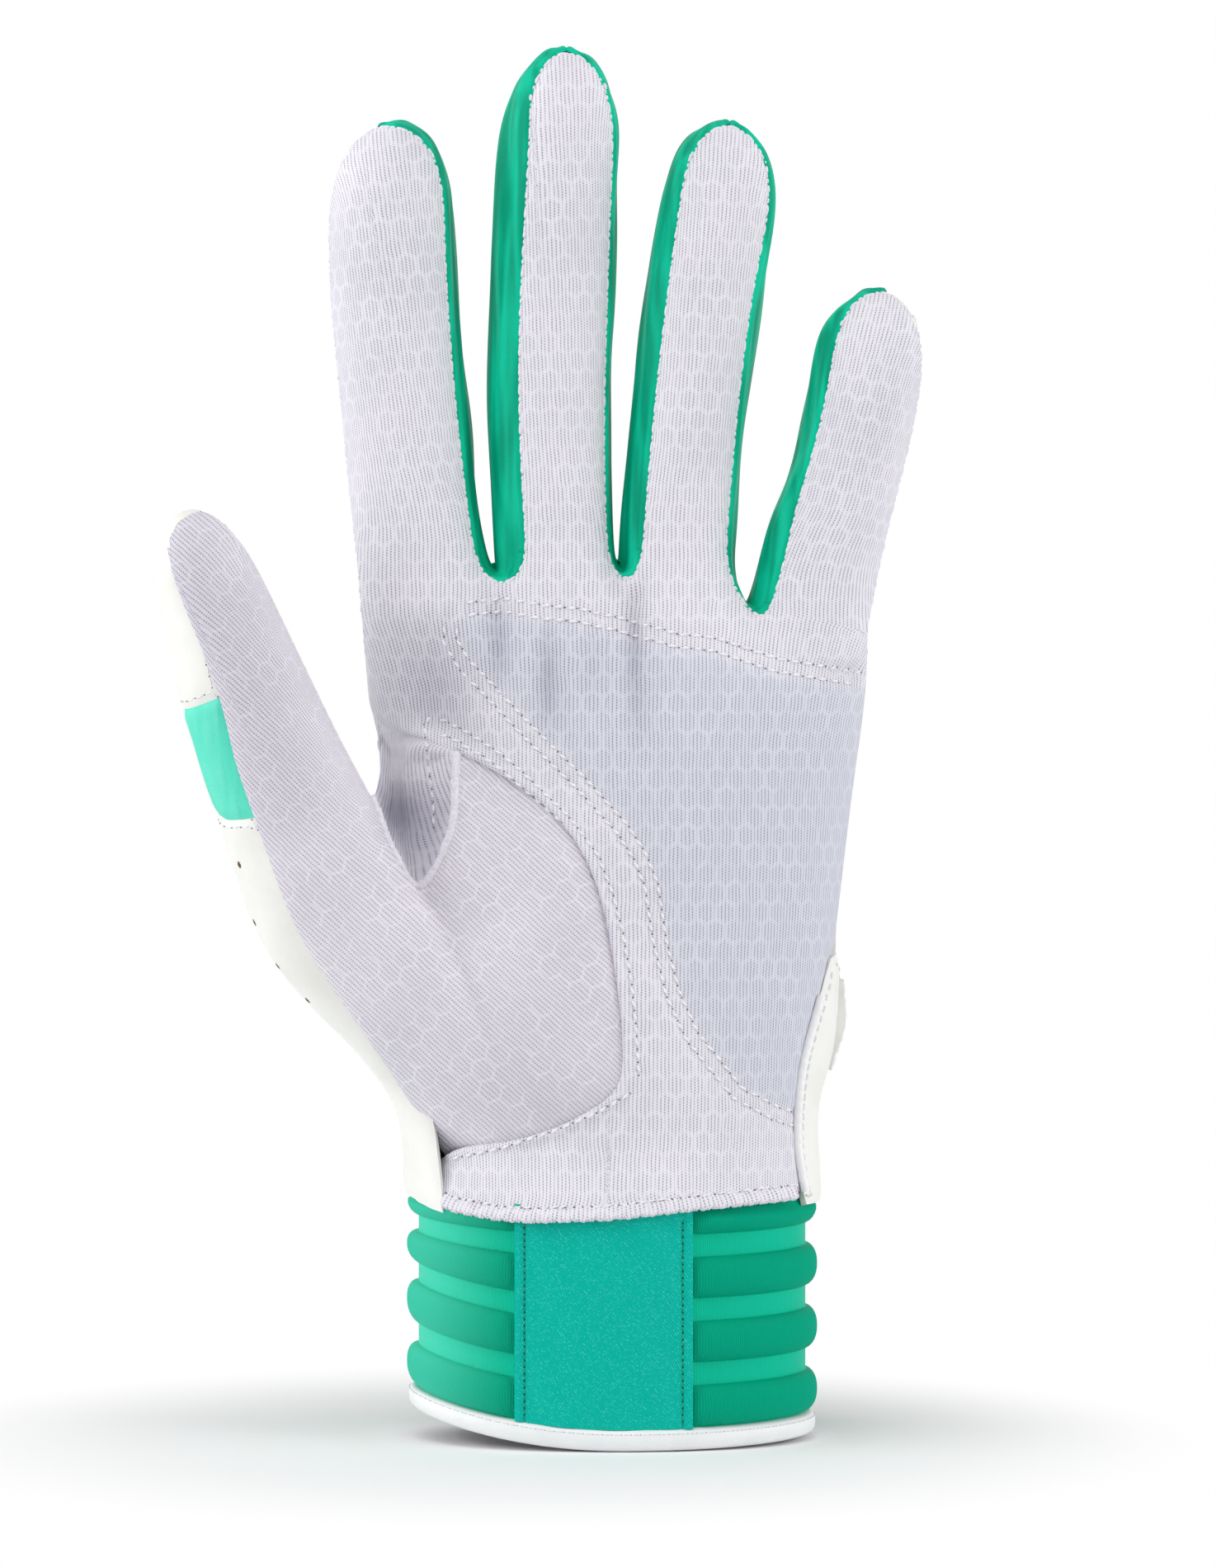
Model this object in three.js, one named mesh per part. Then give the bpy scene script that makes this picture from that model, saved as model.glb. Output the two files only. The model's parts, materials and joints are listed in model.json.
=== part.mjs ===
// A left-hand batting glove standing on its cuff, filled as if worn: palm towards -Y, fingers up.
// Millimetres, +Z up, the origin at the bottom centre of the bounding box, in the rim's plane.
import * as THREE from 'three';

const { lerp, clamp, smoothstep, degToRad } = THREE.MathUtils;

// Cloth thicknesses, and the clearance between panels sewn edge to edge.
const KNIT = 1.0;
const STRETCH = 1.0;
const LEATHER = 1.2;
const PAD = 1.6;
const SEAM = 0.45;

// Every section is a slightly squared oval.
const ROUND = 2.2;

// Digits: base and tip as [x, y, z], sideways bow, half-width and half-depth from base to tip,
// length of the rounded end, and how far its palm and back strips reach to the left and right
// as a share of the half-width (1 is the very side, where no gusset shows).
const TALL = 224.3; // to the middle fingertip
const ROOT_Z = 142; // where the middle fingers leave the hand
const FINGER_DEPTH = [8.8, 7.8];
const FINGERS = [
  {
    name: 'index', base: [-29.9, 0, 140.5], tip: [-35.4, -3, 212.1], bow: -0.9,
    width: [10.7, 10.0], depth: FINGER_DEPTH, cap: 14, front: [1, 0.83], back: [1, 0.6],
  },
  {
    name: 'middle', base: [-8.4, 0, ROOT_Z], tip: [-7.6, -3, TALL], bow: -1.0,
    width: [9.6, 9.8], depth: FINGER_DEPTH, cap: 16, front: [0.5, 0.9], back: [0.9, 0.5],
  },
  {
    name: 'ring', base: [11.3, 0, ROOT_Z], tip: [18.9, -3, 212.5], bow: -0.6,
    width: [9.3, 9.3], depth: FINGER_DEPTH, cap: 15, front: [0.64, 0.85], back: [0.85, 0.64],
  },
  {
    name: 'pinky', base: [31.5, 0, 132.5], tip: [42.8, -3, 185.3], bow: 0.5,
    width: [9.7, 9.1], depth: [8.6, 7.2], cap: 14, front: [0.6, 1], back: [0.8, 1],
  },
];
const THUMB = {
  name: 'thumb', base: [-45.5, -13, 91.3], tip: [-66.3, -17, 148.6], bow: -1.4,
  width: [13.2, 8.8], depth: [11, 8.4], cap: 12, front: [0.72, 1], back: [0.8, 1],
};
const THUMB_FLEX = [15, 34]; // the stretch insert on the thumb's outer side, from its base
const TIP_SHARE = 0.95; // strips stop just short of the fingertip, where the gussets meet
const TIP_TAPER = degToRad(16); // a gusset fades out this far past the tip on a bare side

// Cuff.
const CUFF = { x: 1.0, wide: 31.6, deep: 21.0, top: 38.4 };
const RIM_LIFT = 4.2; // the rim rises towards the thumb
const BINDING = { high: 3.0, inner: -3.6, outer: 1.2 };
const RIBS = { count: 4, pitch: 10.1, high: 6.6, proud: 1.9, first: 7.0 };
const BAND = 1.8;
const LINING = 0.9;
const LABEL = [degToRad(-24), degToRad(24)];
const HEM = { low: 38.8, high: 41.4, proud: 1.3 };
const BODY_LOW = 42.3; // lower edge of the palm and the back

// Hand: its left and right outline, palm depth and back depth at heights above the rim.
const HAND_Z = [36, 60, 85, 112, 130, ROOT_Z];
const HAND_LEFT = [CUFF.x - CUFF.wide, -32.4, -35.6, -39.0, -40.0, -40.6];
const HAND_RIGHT = [CUFF.x + CUFF.wide + SEAM, 34.0, 37.4, 40.2, 41.4, 41.4];
const PALM_DEPTH = [CUFF.deep - SEAM, 18.5, 16, 14.6, 12, 9];
const BACK_DEPTH = [CUFF.deep - SEAM, 17.5, 15, 13.2, 11, 9];
const FADE = 15; // the palm divides into fingers over this height
const NOTCH = 4; // depth of the crotch between two fingers
const KNUCKLE_Z = 114; // lower edge of the stretch band over the knuckles

// The seams of the set-in thumb on the palm, as [x, z]: across the wrist, then up to the web.
const THENAR_FOOT = [[-26.5, 47.8], [-16, 48.6], [-6.5, 51.6], [2.2, 57]];
const THENAR_RISE = [
  [2.2, 57], [2.4, 66], [0.4, 80], [-2.2, 91], [-7.2, 99.2], [-14, 105], [-24, 110.5],
];
const WEB_MIDDLE = [-31.5, 113.2];
const WEB_LEFT = [-39, 114.8];
const WEB_LOW = [-30, -15, 89.5]; // the bottom of the pocket between thumb and palm
const WEB_SINK = 5;
const THENAR_SWELL = 4;
const THUMB_PULL = 2.6; // how soon the back leaves the thumb's form, and the web's
const WEB_PULL = 6;

// Closure on the back of the wrist.
const SLIT = { share: 0.6, open: 2.2, top: 0.52 };
const STRAP = { from: 0.24, to: 1.0, low: 0.27, high: 0.47, thick: 1.4, lift: 2.7 };
const PATCH = { from: 0.7, to: 0.96, thick: 0.8 };
const ANCHOR = [0.14, 0.232];
const SIDE_TOP = 76; // the leather at the wrist's little-finger side ends here
const SIDE_SHOW = 3.6; // how far it comes round to the front
const PIPING = 0.9; // radius

const WHITE_KNIT = 0xd8d6e0;
const WHITE_LEATHER = 0xf0f0ee;
const WHITE_TRIM = 0xe8e8ea;
const GREEN = 0x0aa588;
const GREEN_SATIN = 0x14b8a2;
const GREY_FOAM = 0xa8aab4;
const GREY_TAPE = 0xd0d0d4;

const glove = new THREE.Group();
glove.name = 'batting_glove';

function add(name, geometry, color, roughness = 0.8) {
  const mesh = new THREE.Mesh(geometry, new THREE.MeshStandardMaterial({ color, roughness }));
  mesh.name = name;
  glove.add(mesh);
}

function steps(from, to, count) {
  return Array.from({ length: count + 1 }, (_, i) => lerp(from, to, i / count));
}

// The oval section: sideways and depth shares at an angle from the palm side, and the inverse.
function across(angle) {
  const s = Math.sin(angle);
  return Math.sign(s) * Math.abs(s) ** (2 / ROUND);
}

function deep(angle) {
  const c = Math.cos(angle);
  return Math.sign(c) * Math.abs(c) ** (2 / ROUND);
}

function angleOf(share) {
  return Math.asin(clamp(Math.abs(share), 0, 1) ** (ROUND / 2));
}

function bulge(share) {
  return Math.max(0, 1 - Math.abs(share) ** ROUND) ** (1 / ROUND);
}

function profile(values) {
  const curve = new THREE.CubicInterpolant(HAND_Z, values, 1);
  return (z) => curve.evaluate(clamp(z, HAND_Z[0], HAND_Z.at(-1)))[0];
}

function geometryOf(points, faces) {
  const geometry = new THREE.BufferGeometry();
  geometry.setAttribute('position', new THREE.Float32BufferAttribute(points.flatMap((p) => p.toArray()), 3));
  geometry.setIndex(faces.flat());
  geometry.computeVertexNormals();
  return geometry;
}

// How a row of points runs at each of them, to second order at the ends.
function runs(row) {
  const last = row.length - 1;
  return row.map((p, i) => {
    const d = new THREE.Vector3();
    if (last === 1) return d.subVectors(row[1], row[0]);
    if (i > 0 && i < last) return d.subVectors(row[i + 1], row[i - 1]);
    const [a, b, c] = i === 0 ? [row[0], row[1], row[2]] : [row[last], row[last - 1], row[last - 2]];
    d.addScaledVector(a, -3).addScaledVector(b, 4).addScaledVector(c, -1);
    return i === 0 ? d : d.negate();
  });
}

function normalsOf(rows) {
  const along = rows.map(runs);
  const up = rows[0].map((_, i) => runs(rows.map((row) => row[i])));
  return rows.map((row, j) => row.map((_, i) => along[j][i].clone().cross(up[i][j]).normalize()));
}

function raised(rows, height) {
  const normals = normalsOf(rows);
  return rows.map((row, j) => row.map((p, i) => p.clone().addScaledVector(p.out ?? normals[j][i], height)));
}

// A closed panel: its outer face is a grid of points, and its inner face lies the cloth's
// thickness behind. Rows run upwards and columns left to right, seen from outside.
function sheet(rows, thickness) {
  const wide = rows[0].length;
  const high = rows.length;
  const points = [...rows.flat(), ...raised(rows, -thickness).flat()];
  const outer = (i, j) => j * wide + i;
  const inner = (i, j) => wide * high + outer(i, j);
  const faces = [];
  const quad = (a, b, c, d) => faces.push([a, b, c], [a, c, d]);
  for (let j = 0; j < high - 1; j++) {
    for (let i = 0; i < wide - 1; i++) {
      quad(outer(i, j), outer(i + 1, j), outer(i + 1, j + 1), outer(i, j + 1));
      quad(inner(i, j), inner(i, j + 1), inner(i + 1, j + 1), inner(i + 1, j));
    }
  }
  const rim = (pair) => pair.forEach(([a, b]) => quad(outer(...b), outer(...a), inner(...a), inner(...b)));
  const count = (n) => Array.from({ length: n - 1 }, (_, k) => k);
  rim(count(wide).map((i) => [[i, 0], [i + 1, 0]]));
  rim(count(wide).map((i) => [[i + 1, high - 1], [i, high - 1]]));
  rim(count(high).map((j) => [[0, j + 1], [0, j]]));
  rim(count(high).map((j) => [[wide - 1, j], [wide - 1, j + 1]]));
  return geometryOf(points, faces);
}

// A closed section of [out, z] points carried through a list of angles by place(angle, out, z).
function sweep(section, angles, place, loop) {
  const count = section.length;
  const points = angles.flatMap((angle) => section.map(([out, z]) => place(angle, out, z)));
  const faces = [];
  const spans = loop ? angles.length : angles.length - 1;
  for (let k = 0; k < spans; k++) {
    const here = k * count;
    const next = ((k + 1) % angles.length) * count;
    for (let m = 0; m < count; m++) {
      const n = (m + 1) % count;
      faces.push([here + m, next + m, next + n], [here + m, next + n, here + n]);
    }
  }
  if (!loop) {
    const end = (angles.length - 1) * count;
    const flat = section.map(([out, z]) => new THREE.Vector2(out, z));
    THREE.ShapeUtils.triangulateShape(flat, []).forEach(([a, b, c]) => {
      faces.push([a, b, c], [end + a, end + c, end + b]);
    });
  }
  return geometryOf(points, faces);
}

// A grid filled in from its four edges. Bottom and top run left to right, left and right upwards.
// The way bottom and top depart from straight lines fades towards the middle: fast, if eased.
function fill(bottom, top, left, right, ease = 1) {
  const us = shares(bottom);
  const vs = shares(left).map((s, j) => (s + shares(right)[j]) / 2);
  const depart = (row, i) => row[i].clone().sub(row[0].clone().lerp(row.at(-1), us[i]));
  return vs.map((v, j) => us.map((u, i) => left[j].clone().lerp(right[j], u)
    .add(depart(bottom, i).multiplyScalar((1 - v) ** ease))
    .add(depart(top, i).multiplyScalar(v ** ease))));
}

function shares(points) {
  const at = [0];
  for (let i = 1; i < points.length; i++) at.push(at[i - 1] + points[i].distanceTo(points[i - 1]));
  return at.map((length) => length / at.at(-1));
}

// A digit's tube: places on it are given from its own axis, so that its panels share one form.
function digit(size) {
  const base = new THREE.Vector3(...size.base);
  const tip = new THREE.Vector3(...size.tip);
  const capCentre = tip.clone().addScaledVector(tip.clone().sub(base).normalize(), -size.cap);
  const bend = base.clone().lerp(capCentre, 0.5);
  bend.x += 2 * size.bow;
  const axis = new THREE.QuadraticBezierCurve3(base, bend, capCentre);
  const length = axis.getLength();

  const frame = (a) => {
    const t = clamp(a / length, 0, 1);
    const along = axis.getTangentAt(t);
    const origin = axis.getPointAt(t).addScaledVector(along, a - t * length);
    const side = new THREE.Vector3(0, 1, 0).cross(along).normalize();
    const back = along.clone().cross(side);
    return {
      along, origin, side, back, wide: lerp(...size.width, t), thick: lerp(...size.depth, t),
    };
  };

  // A place on the outline: a spoke from the axis, straight out or turned round the tip.
  const spoke = (a, turn) => {
    const wide = frame(a).wide;
    return { a, turn, lat: wide * Math.sin(turn), up: size.cap * Math.cos(turn) };
  };
  const flank = (a, sign) => ({ ...spoke(a, sign * Math.PI / 2), up: 0 });

  const reach = (turn, [left, right]) => {
    const side = turn < 0 ? left : right;
    const span = side === 1 ? TIP_TAPER : Math.PI / 2;
    return lerp(TIP_SHARE, side, smoothstep(Math.abs(turn), 0, span));
  };

  // A point beside the axis, past its end and in depth, which also knows the way it faces.
  const place = (a, lat, past, depth) => {
    const f = frame(a);
    const swell = Math.hypot(lat / f.wide, past / size.cap) ** (ROUND - 2);
    const point = f.origin
      .addScaledVector(f.side, lat)
      .addScaledVector(f.along, past)
      .addScaledVector(f.back, depth * f.thick);
    point.out = new THREE.Vector3()
      .addScaledVector(f.side, swell * lat / f.wide ** 2)
      .addScaledVector(f.along, swell * past / size.cap ** 2)
      .addScaledVector(f.back, Math.sign(depth) * Math.abs(depth) ** (ROUND - 1) / f.thick)
      .normalize();
    return point;
  };

  // Round the section at a spoke: 0 is the palm side, a quarter turn the very side.
  const at = (s, angle) => place(s.a, across(angle) * s.lat, across(angle) * s.up, -deep(angle));

  // On the palm side (-1) or the back (+1), at a sideways distance and a distance from the base.
  const skin = (lat, a, facing) => {
    const past = Math.max(0, a - length);
    const share = Math.hypot(lat / frame(Math.min(a, length)).wide, past / size.cap);
    return place(Math.min(a, length), lat, past, facing * bulge(share));
  };

  const trim = SEAM / 2 / size.depth[1];
  return { ...size, length, frame, spoke, flank, reach, at, skin, trim };
}

const STRAIGHT = 9;
const CORNER = 2;
const ACROSS = 6;
const CORNER_TURN = degToRad(48);

function outline(d) {
  const side = (sign) => [
    ...steps(SEAM / 2, d.length, STRAIGHT).map((a) => d.flank(a, sign)),
    ...steps(Math.PI / 2, CORNER_TURN, CORNER).slice(1).map((turn) => d.spoke(d.length, sign * turn)),
  ];
  const top = steps(-CORNER_TURN, CORNER_TURN, ACROSS).map((turn) => d.spoke(d.length, turn));
  return { left: side(-1), right: side(1), top };
}

// Angles of a strip's crosswise points at its base.
function crosswise(d, facing) {
  const [left, right] = facing < 0 ? d.front : d.back;
  return steps(d.trim - angleOf(left), angleOf(right) - d.trim, ACROSS);
}

function baseRow(d, facing, a) {
  const wide = d.frame(a).wide;
  return crosswise(d, facing).map((angle) => d.skin(wide * across(angle), a, facing));
}

// The strip on the palm side or the back of a digit.
function strip(d, facing, thickness) {
  const sides = facing < 0 ? d.front : d.back;
  const flat = (s) => {
    const share = across(angleOf(d.reach(s.turn, sides)) - d.trim);
    return new THREE.Vector2(s.lat * share, s.a + s.up * share);
  };
  const edge = outline(d);
  const wide = d.frame(0).wide;
  const bottom = crosswise(d, facing).map((angle) => new THREE.Vector2(wide * across(angle), SEAM / 2));
  const grid = fill(bottom, edge.top.map(flat), edge.left.map(flat), edge.right.map(flat));
  const rows = grid.map((row) => row.map((p) => d.skin(p.x, p.y, facing)));
  return sheet(facing < 0 ? rows : rows.map((row) => row.reverse()), thickness);
}

// Points from the palm-side edge of a gusset round the side to its back edge.
function round(d, s, sign, count) {
  const from = angleOf(d.reach(s.turn, d.front)) + d.trim;
  const to = Math.PI - angleOf(d.reach(s.turn, d.back)) - d.trim;
  const row = steps(from, to, count).map((angle) => d.at(s, angle));
  return sign > 0 ? row : row.reverse();
}

// The gusset arm on the left (-1) or right (+1) side of a finger, from its base to its tip.
function arm(d, sign) {
  const edge = outline(d);
  const bare = d.front[sign < 0 ? 1 : 0] === 1;
  const stop = bare ? 0.86 * TIP_TAPER : -SEAM / 2 / d.width[1];
  const half = sign < 0 ? edge.top.slice(1, ACROSS / 2) : edge.top.slice(ACROSS / 2 + 1, -1).reverse();
  const over = bare ? [d.spoke(d.length, 0)] : [];
  const end = d.spoke(d.length, -sign * stop);
  const stations = [...(sign < 0 ? edge.left : edge.right), ...half, ...over, end];
  return sheet(stations.map((s) => round(d, s, sign, 4)), STRETCH);
}

const fingers = FINGERS.map(digit);
const thumb = digit(THUMB);
const [index, middle, ring, pinky] = fingers;

fingers.forEach((d) => {
  add(`${d.name}_palm_strip`, strip(d, -1, KNIT), WHITE_KNIT);
  add(`${d.name}_back_strip`, strip(d, 1, LEATHER), WHITE_LEATHER, 0.5);
});
[middle, ring, pinky].forEach((d) => add(`${d.name}_left_gusset`, arm(d, -1), GREEN, 0.5));
[index, middle, ring].forEach((d) => add(`${d.name}_right_gusset`, arm(d, 1), GREEN, 0.5));

// The hand's oval, and its depth where it divides into fingers.
const leftAt = profile(HAND_LEFT);
const rightAt = profile(HAND_RIGHT);
const palmDepth = profile(PALM_DEPTH);
const backDepth = profile(BACK_DEPTH);

function lift(x) {
  return RIM_LIFT * smoothstep(-x, 10, 33);
}

function handDepth(x, z, facing) {
  const half = (rightAt(z) - leftAt(z)) / 2;
  const share = (x - leftAt(z)) / half - 1;
  const low = (facing < 0 ? palmDepth(z) : backDepth(z)) * bulge(share);
  let deepSum = 0;
  let riseSum = 0;
  let weight = 0;
  fingers.forEach((d) => {
    const f = d.frame(0);
    const from = new THREE.Vector3(x, 0, z).sub(f.origin);
    const lat = from.dot(f.side) / f.wide;
    const limit = (facing < 0 ? d.front : d.back)[lat < 0 ? 0 : 1];
    const near = 1 / (0.02 + Math.max(0, Math.abs(lat) - 0.7)) ** 2;
    deepSum += near * f.thick * bulge(Math.min(Math.abs(lat), limit));
    riseSum += near * smoothstep(from.dot(f.along), -FADE, 0);
    weight += near;
  });
  return lerp(low, deepSum / weight, riseSum / weight);
}

function onHand(p, facing) {
  const depth = handDepth(p.x, p.y, facing);
  const point = new THREE.Vector3(p.x, facing * Math.max(SEAM / 2, depth), p.y);
  if (depth < SEAM) point.out = new THREE.Vector3(Math.sign(p.x), 0, 0);
  return point;
}

// The edge along the finger bases, dipping into a notch between each two fingers.
function crotchLine(facing) {
  const rows = fingers.map((d) => baseRow(d, facing, -SEAM / 2).map((p) => new THREE.Vector2(p.x, p.z)));
  return rows.flatMap((row, k) => (k === 0 ? row : [...notch(rows[k - 1].at(-1), row[0]), ...row]));
}

function notch(from, to) {
  return [0.2, 0.5, 0.8].map((q) => {
    const dip = NOTCH * Math.sqrt(1 - (2 * q - 1) ** 2);
    return from.clone().lerp(to, q).add(new THREE.Vector2(0, -dip));
  });
}

function curve2(points) {
  return new THREE.SplineCurve(points.map(([x, z]) => new THREE.Vector2(x, z)));
}

// A plane curve's points, moved sideways: positive is to its right.
function beside(curve, from, to, count, shift) {
  return steps(from, to, count).map((t) => {
    const run = curve.getTangent(t);
    return curve.getPoint(t).add(new THREE.Vector2(run.y, -run.x).multiplyScalar(shift));
  });
}

// A share of each edge, so that edges which match get the same number of points.
function resample(points, count) {
  const curve = new THREE.SplineCurve(points);
  return steps(0, 1, count).map((t) => curve.getPointAt(t));
}

const RISE_ROWS = 8;
const FOLD_COLUMNS = 4;
const THENAR_SPLIT = 0.62;
const thenarFoot = curve2(THENAR_FOOT);
const thenarRise = curve2(THENAR_RISE);

function palmRightEdge(z) {
  const inward = SIDE_SHOW * (1 - smoothstep(z, SIDE_TOP - 18, SIDE_TOP + 2));
  return rightAt(z) - inward;
}

// The palm: from the wrist round the set-in thumb and up to the fingers.
const palmTop = crotchLine(-1);
const palmLeft = [
  new THREE.Vector2(-30.2, BODY_LOW + lift(-30)),
  ...beside(thenarFoot, 0.05, 1, 4, SEAM / 2),
  ...beside(thenarRise, 0, 1, RISE_ROWS, SEAM / 2).slice(1),
  ...[WEB_MIDDLE, WEB_LEFT, [leftAt(121), 121], [leftAt(130), 130]].map((p) => new THREE.Vector2(...p)),
  palmTop[0],
];
const PALM_ROWS = palmLeft.length - 1;
const palmRight = steps(BODY_LOW, palmTop.at(-1).y, PALM_ROWS)
  .map((z) => new THREE.Vector2(palmRightEdge(z), z));
palmRight[PALM_ROWS].copy(palmTop.at(-1));
const palmBottom = shares(palmTop).map((s) => {
  const x = lerp(palmLeft[0].x, palmRight[0].x, s);
  return new THREE.Vector2(x, BODY_LOW + lift(x));
});
palmBottom[0].copy(palmLeft[0]);
const palmGrid = fill(palmBottom, palmTop, palmLeft, palmRight, 7);
add('palm_panel', sheet(palmGrid.map((row) => row.map((p) => onHand(p, -1))), KNIT), WHITE_KNIT);

// The pad sewn behind the palm cloth, under its double rows of stitching.
const padLeft = resample([
  [27, 55], [19, 61], [12, 71.5], [9.4, 84], [6.5, 94], [0, 102], [-11.5, 114], [-24, 128],
].map(([x, z]) => new THREE.Vector2(x, z)), 10);
const padRight = steps(55, 120, 10).map((z) => new THREE.Vector2(palmRightEdge(z) - 2.6, z));
const padTop = resample([[-24, 128], [-8, 129.5], [10, 126.5], [26, 122], [36.6, 120]]
  .map(([x, z]) => new THREE.Vector2(x, z)), 10);
padTop[10].copy(padRight[10]);
const padBottom = steps(0, 1, 10).map((t) => padLeft[0].clone().lerp(padRight[0], t));
const padRows = fill(padBottom, padTop, padLeft, padRight).map((row) => row.map((p) => onHand(p, -1)));
add('palm_pad', sheet(raised(padRows, -KNIT - 2 * SEAM), PAD), GREY_FOAM, 0.9);

// The stretch band over the knuckles.
const knuckleTop = crotchLine(1);
const knuckleLeft = steps(KNUCKLE_Z + 1.5 * SEAM, knuckleTop[0].y, 6)
  .map((z) => new THREE.Vector2(leftAt(z), z));
knuckleLeft[6].copy(knuckleTop[0]);
const knuckleRight = steps(KNUCKLE_Z + 1.5 * SEAM, knuckleTop.at(-1).y, 6)
  .map((z) => new THREE.Vector2(rightAt(z), z));
knuckleRight[6].copy(knuckleTop.at(-1));
const knuckleBottom = shares(knuckleTop).map((s) => knuckleLeft[0].clone().lerp(knuckleRight[0], s));
const knuckleRows = fill(knuckleBottom, knuckleTop, knuckleLeft, knuckleRight)
  .map((row) => row.map((p) => onHand(p, 1)).reverse());
add('knuckle_flex', sheet(knuckleRows, STRETCH), GREEN, 0.5);

// A gusset closes each crotch, from one finger's side down and up the next one's.
fingers.slice(1).forEach((next, k) => {
  const d = fingers[k];
  const here = round(d, d.flank(-SEAM / 2, 1), 1, 4);
  const there = round(next, next.flank(-SEAM / 2, -1), 1, 4);
  const rows = here.map((p, c) => {
    const low = p.clone().lerp(there[c], 0.5);
    low.z -= 2 * NOTCH * (1 - 0.3 * Math.sin(Math.PI * c / 4)) - 2;
    const bend = new THREE.QuadraticBezierCurve3(p, low, there[c]);
    return steps(0, 1, 6).map((t) => bend.getPoint(t));
  });
  add(`${d.name}_${next.name}_crotch`, sheet(rows, STRETCH), GREEN, 0.5);
});

// Thumb: its front and back strips, and its outer side in three pieces round the flex insert.
add('thumb_front', strip(thumb, -1, KNIT), WHITE_KNIT);
add('thumb_back', strip(thumb, 1, LEATHER), WHITE_LEATHER, 0.5);

function thumbSide(from, to, count) {
  return sheet(steps(from, to, count).map((a) => round(thumb, thumb.flank(a, -1), -1, 4)), LEATHER);
}

const thumbTip = [
  ...steps(THUMB_FLEX[1] + SEAM / 2, thumb.length, 3).map((a) => thumb.flank(a, -1)),
  ...steps(-Math.PI / 2, 0.86 * TIP_TAPER, 6).slice(1).map((turn) => thumb.spoke(thumb.length, turn)),
];
add('thumb_side_lower', thumbSide(SEAM / 2, THUMB_FLEX[0] - SEAM / 2, 3), WHITE_LEATHER, 0.5);
add('thumb_flex_insert', thumbSide(THUMB_FLEX[0] + SEAM / 2, THUMB_FLEX[1] - SEAM / 2, 4), GREEN, 0.5);
add('thumb_side_tip', sheet(thumbTip.map((s) => round(thumb, s, -1, 4)), LEATHER), WHITE_LEATHER, 0.5);

// Thenar: from the wrist up to the thumb's base, with the web's pocket cut into its corner.
// It is filled in two halves, which share the line from the wrist seam up to the pocket.
const hingeFront = baseRow(thumb, -1, -SEAM / 2);
const webLow = new THREE.Vector3(...WEB_LOW);
const onSeam = (curve, from, to, count) => beside(curve, from, to, count, -SEAM / 2)
  .map((p) => onHand(p, -1));
const thenarRight = onSeam(thenarRise, 0, 1, RISE_ROWS);
const webFold = new THREE.QuadraticBezierCurve3(
  webLow,
  webLow.clone().lerp(thenarRight.at(-1), 0.5).add(new THREE.Vector3(2.5, -2, 0)),
  thenarRight.at(-1),
);
const thenarTop = [...hingeFront, hingeFront.at(-1).clone().lerp(webLow, 0.5), webLow];
const foldTop = steps(0, 1, FOLD_COLUMNS).map((t) => webFold.getPoint(t));
const thenarFootRow = onSeam(thenarFoot, 0.05, THENAR_SPLIT, thenarTop.length - 1);
const foldFootRow = onSeam(thenarFoot, THENAR_SPLIT, 1, FOLD_COLUMNS);
foldFootRow.at(-1).copy(thenarRight[0]);
const sideFront = new THREE.CatmullRomCurve3([
  thenarFootRow[0],
  new THREE.Vector3(-37.6, -14.5, 62.6),
  new THREE.Vector3(-45.6, -18, 74),
  hingeFront[0],
]);
const split = new THREE.QuadraticBezierCurve3(
  foldFootRow[0],
  foldFootRow[0].clone().lerp(webLow, 0.5).add(new THREE.Vector3(1, -5, 2)),
  webLow,
);
const upward = (curve) => steps(0, 1, RISE_ROWS).map((t) => curve.getPoint(t));
const thumbHalf = fill(thenarFootRow, thenarTop, upward(sideFront), upward(split));
const palmHalf = fill(foldFootRow, foldTop, upward(split), thenarRight);
const thenarRows = thumbHalf.map((row, j) => [...row, ...palmHalf[j].slice(1)]);
thenarRows.forEach((row, j) => row.forEach((p, i) => {
  const u = i / (row.length - 1);
  p.y -= THENAR_SWELL * Math.sin(Math.PI * u) * Math.sin(Math.PI * j / RISE_ROWS);
}));
add('thenar_panel', sheet(thenarRows, KNIT), WHITE_KNIT);

// Back of the hand: one surface from the wrist to the knuckles, reaching round to the thumb.
const hingeBack = baseRow(thumb, 1, -3 * SEAM);
const wristLeft = new THREE.Vector3(-30.6, SEAM / 2, HEM.low + lift(-30.6));
const sideBack = new THREE.CatmullRomCurve3([
  wristLeft,
  new THREE.Vector3(-36, -1.5, 58),
  new THREE.Vector3(-45, -4.5, 69),
  hingeBack[0],
]);
const webTop = new THREE.Vector3(leftAt(KNUCKLE_Z) + 0.2, SEAM, KNUCKLE_Z);
const backLeft = new THREE.CatmullRomCurve3([
  ...steps(0, 0.9, 6).map((t) => sideBack.getPoint(t)),
  hingeBack[0],
  hingeBack[3],
  hingeBack[5],
  hingeBack[5].clone().lerp(webTop, 0.5).add(new THREE.Vector3(1.2, 2, 0)),
  webTop,
]);

function ovalBack(angle, z) {
  const half = (rightAt(z) - leftAt(z)) / 2;
  const x = leftAt(z) + half * (1 + across(angle));
  return new THREE.Vector3(x, Math.max(SEAM / 2, backDepth(z) * deep(angle)), z);
}

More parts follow.
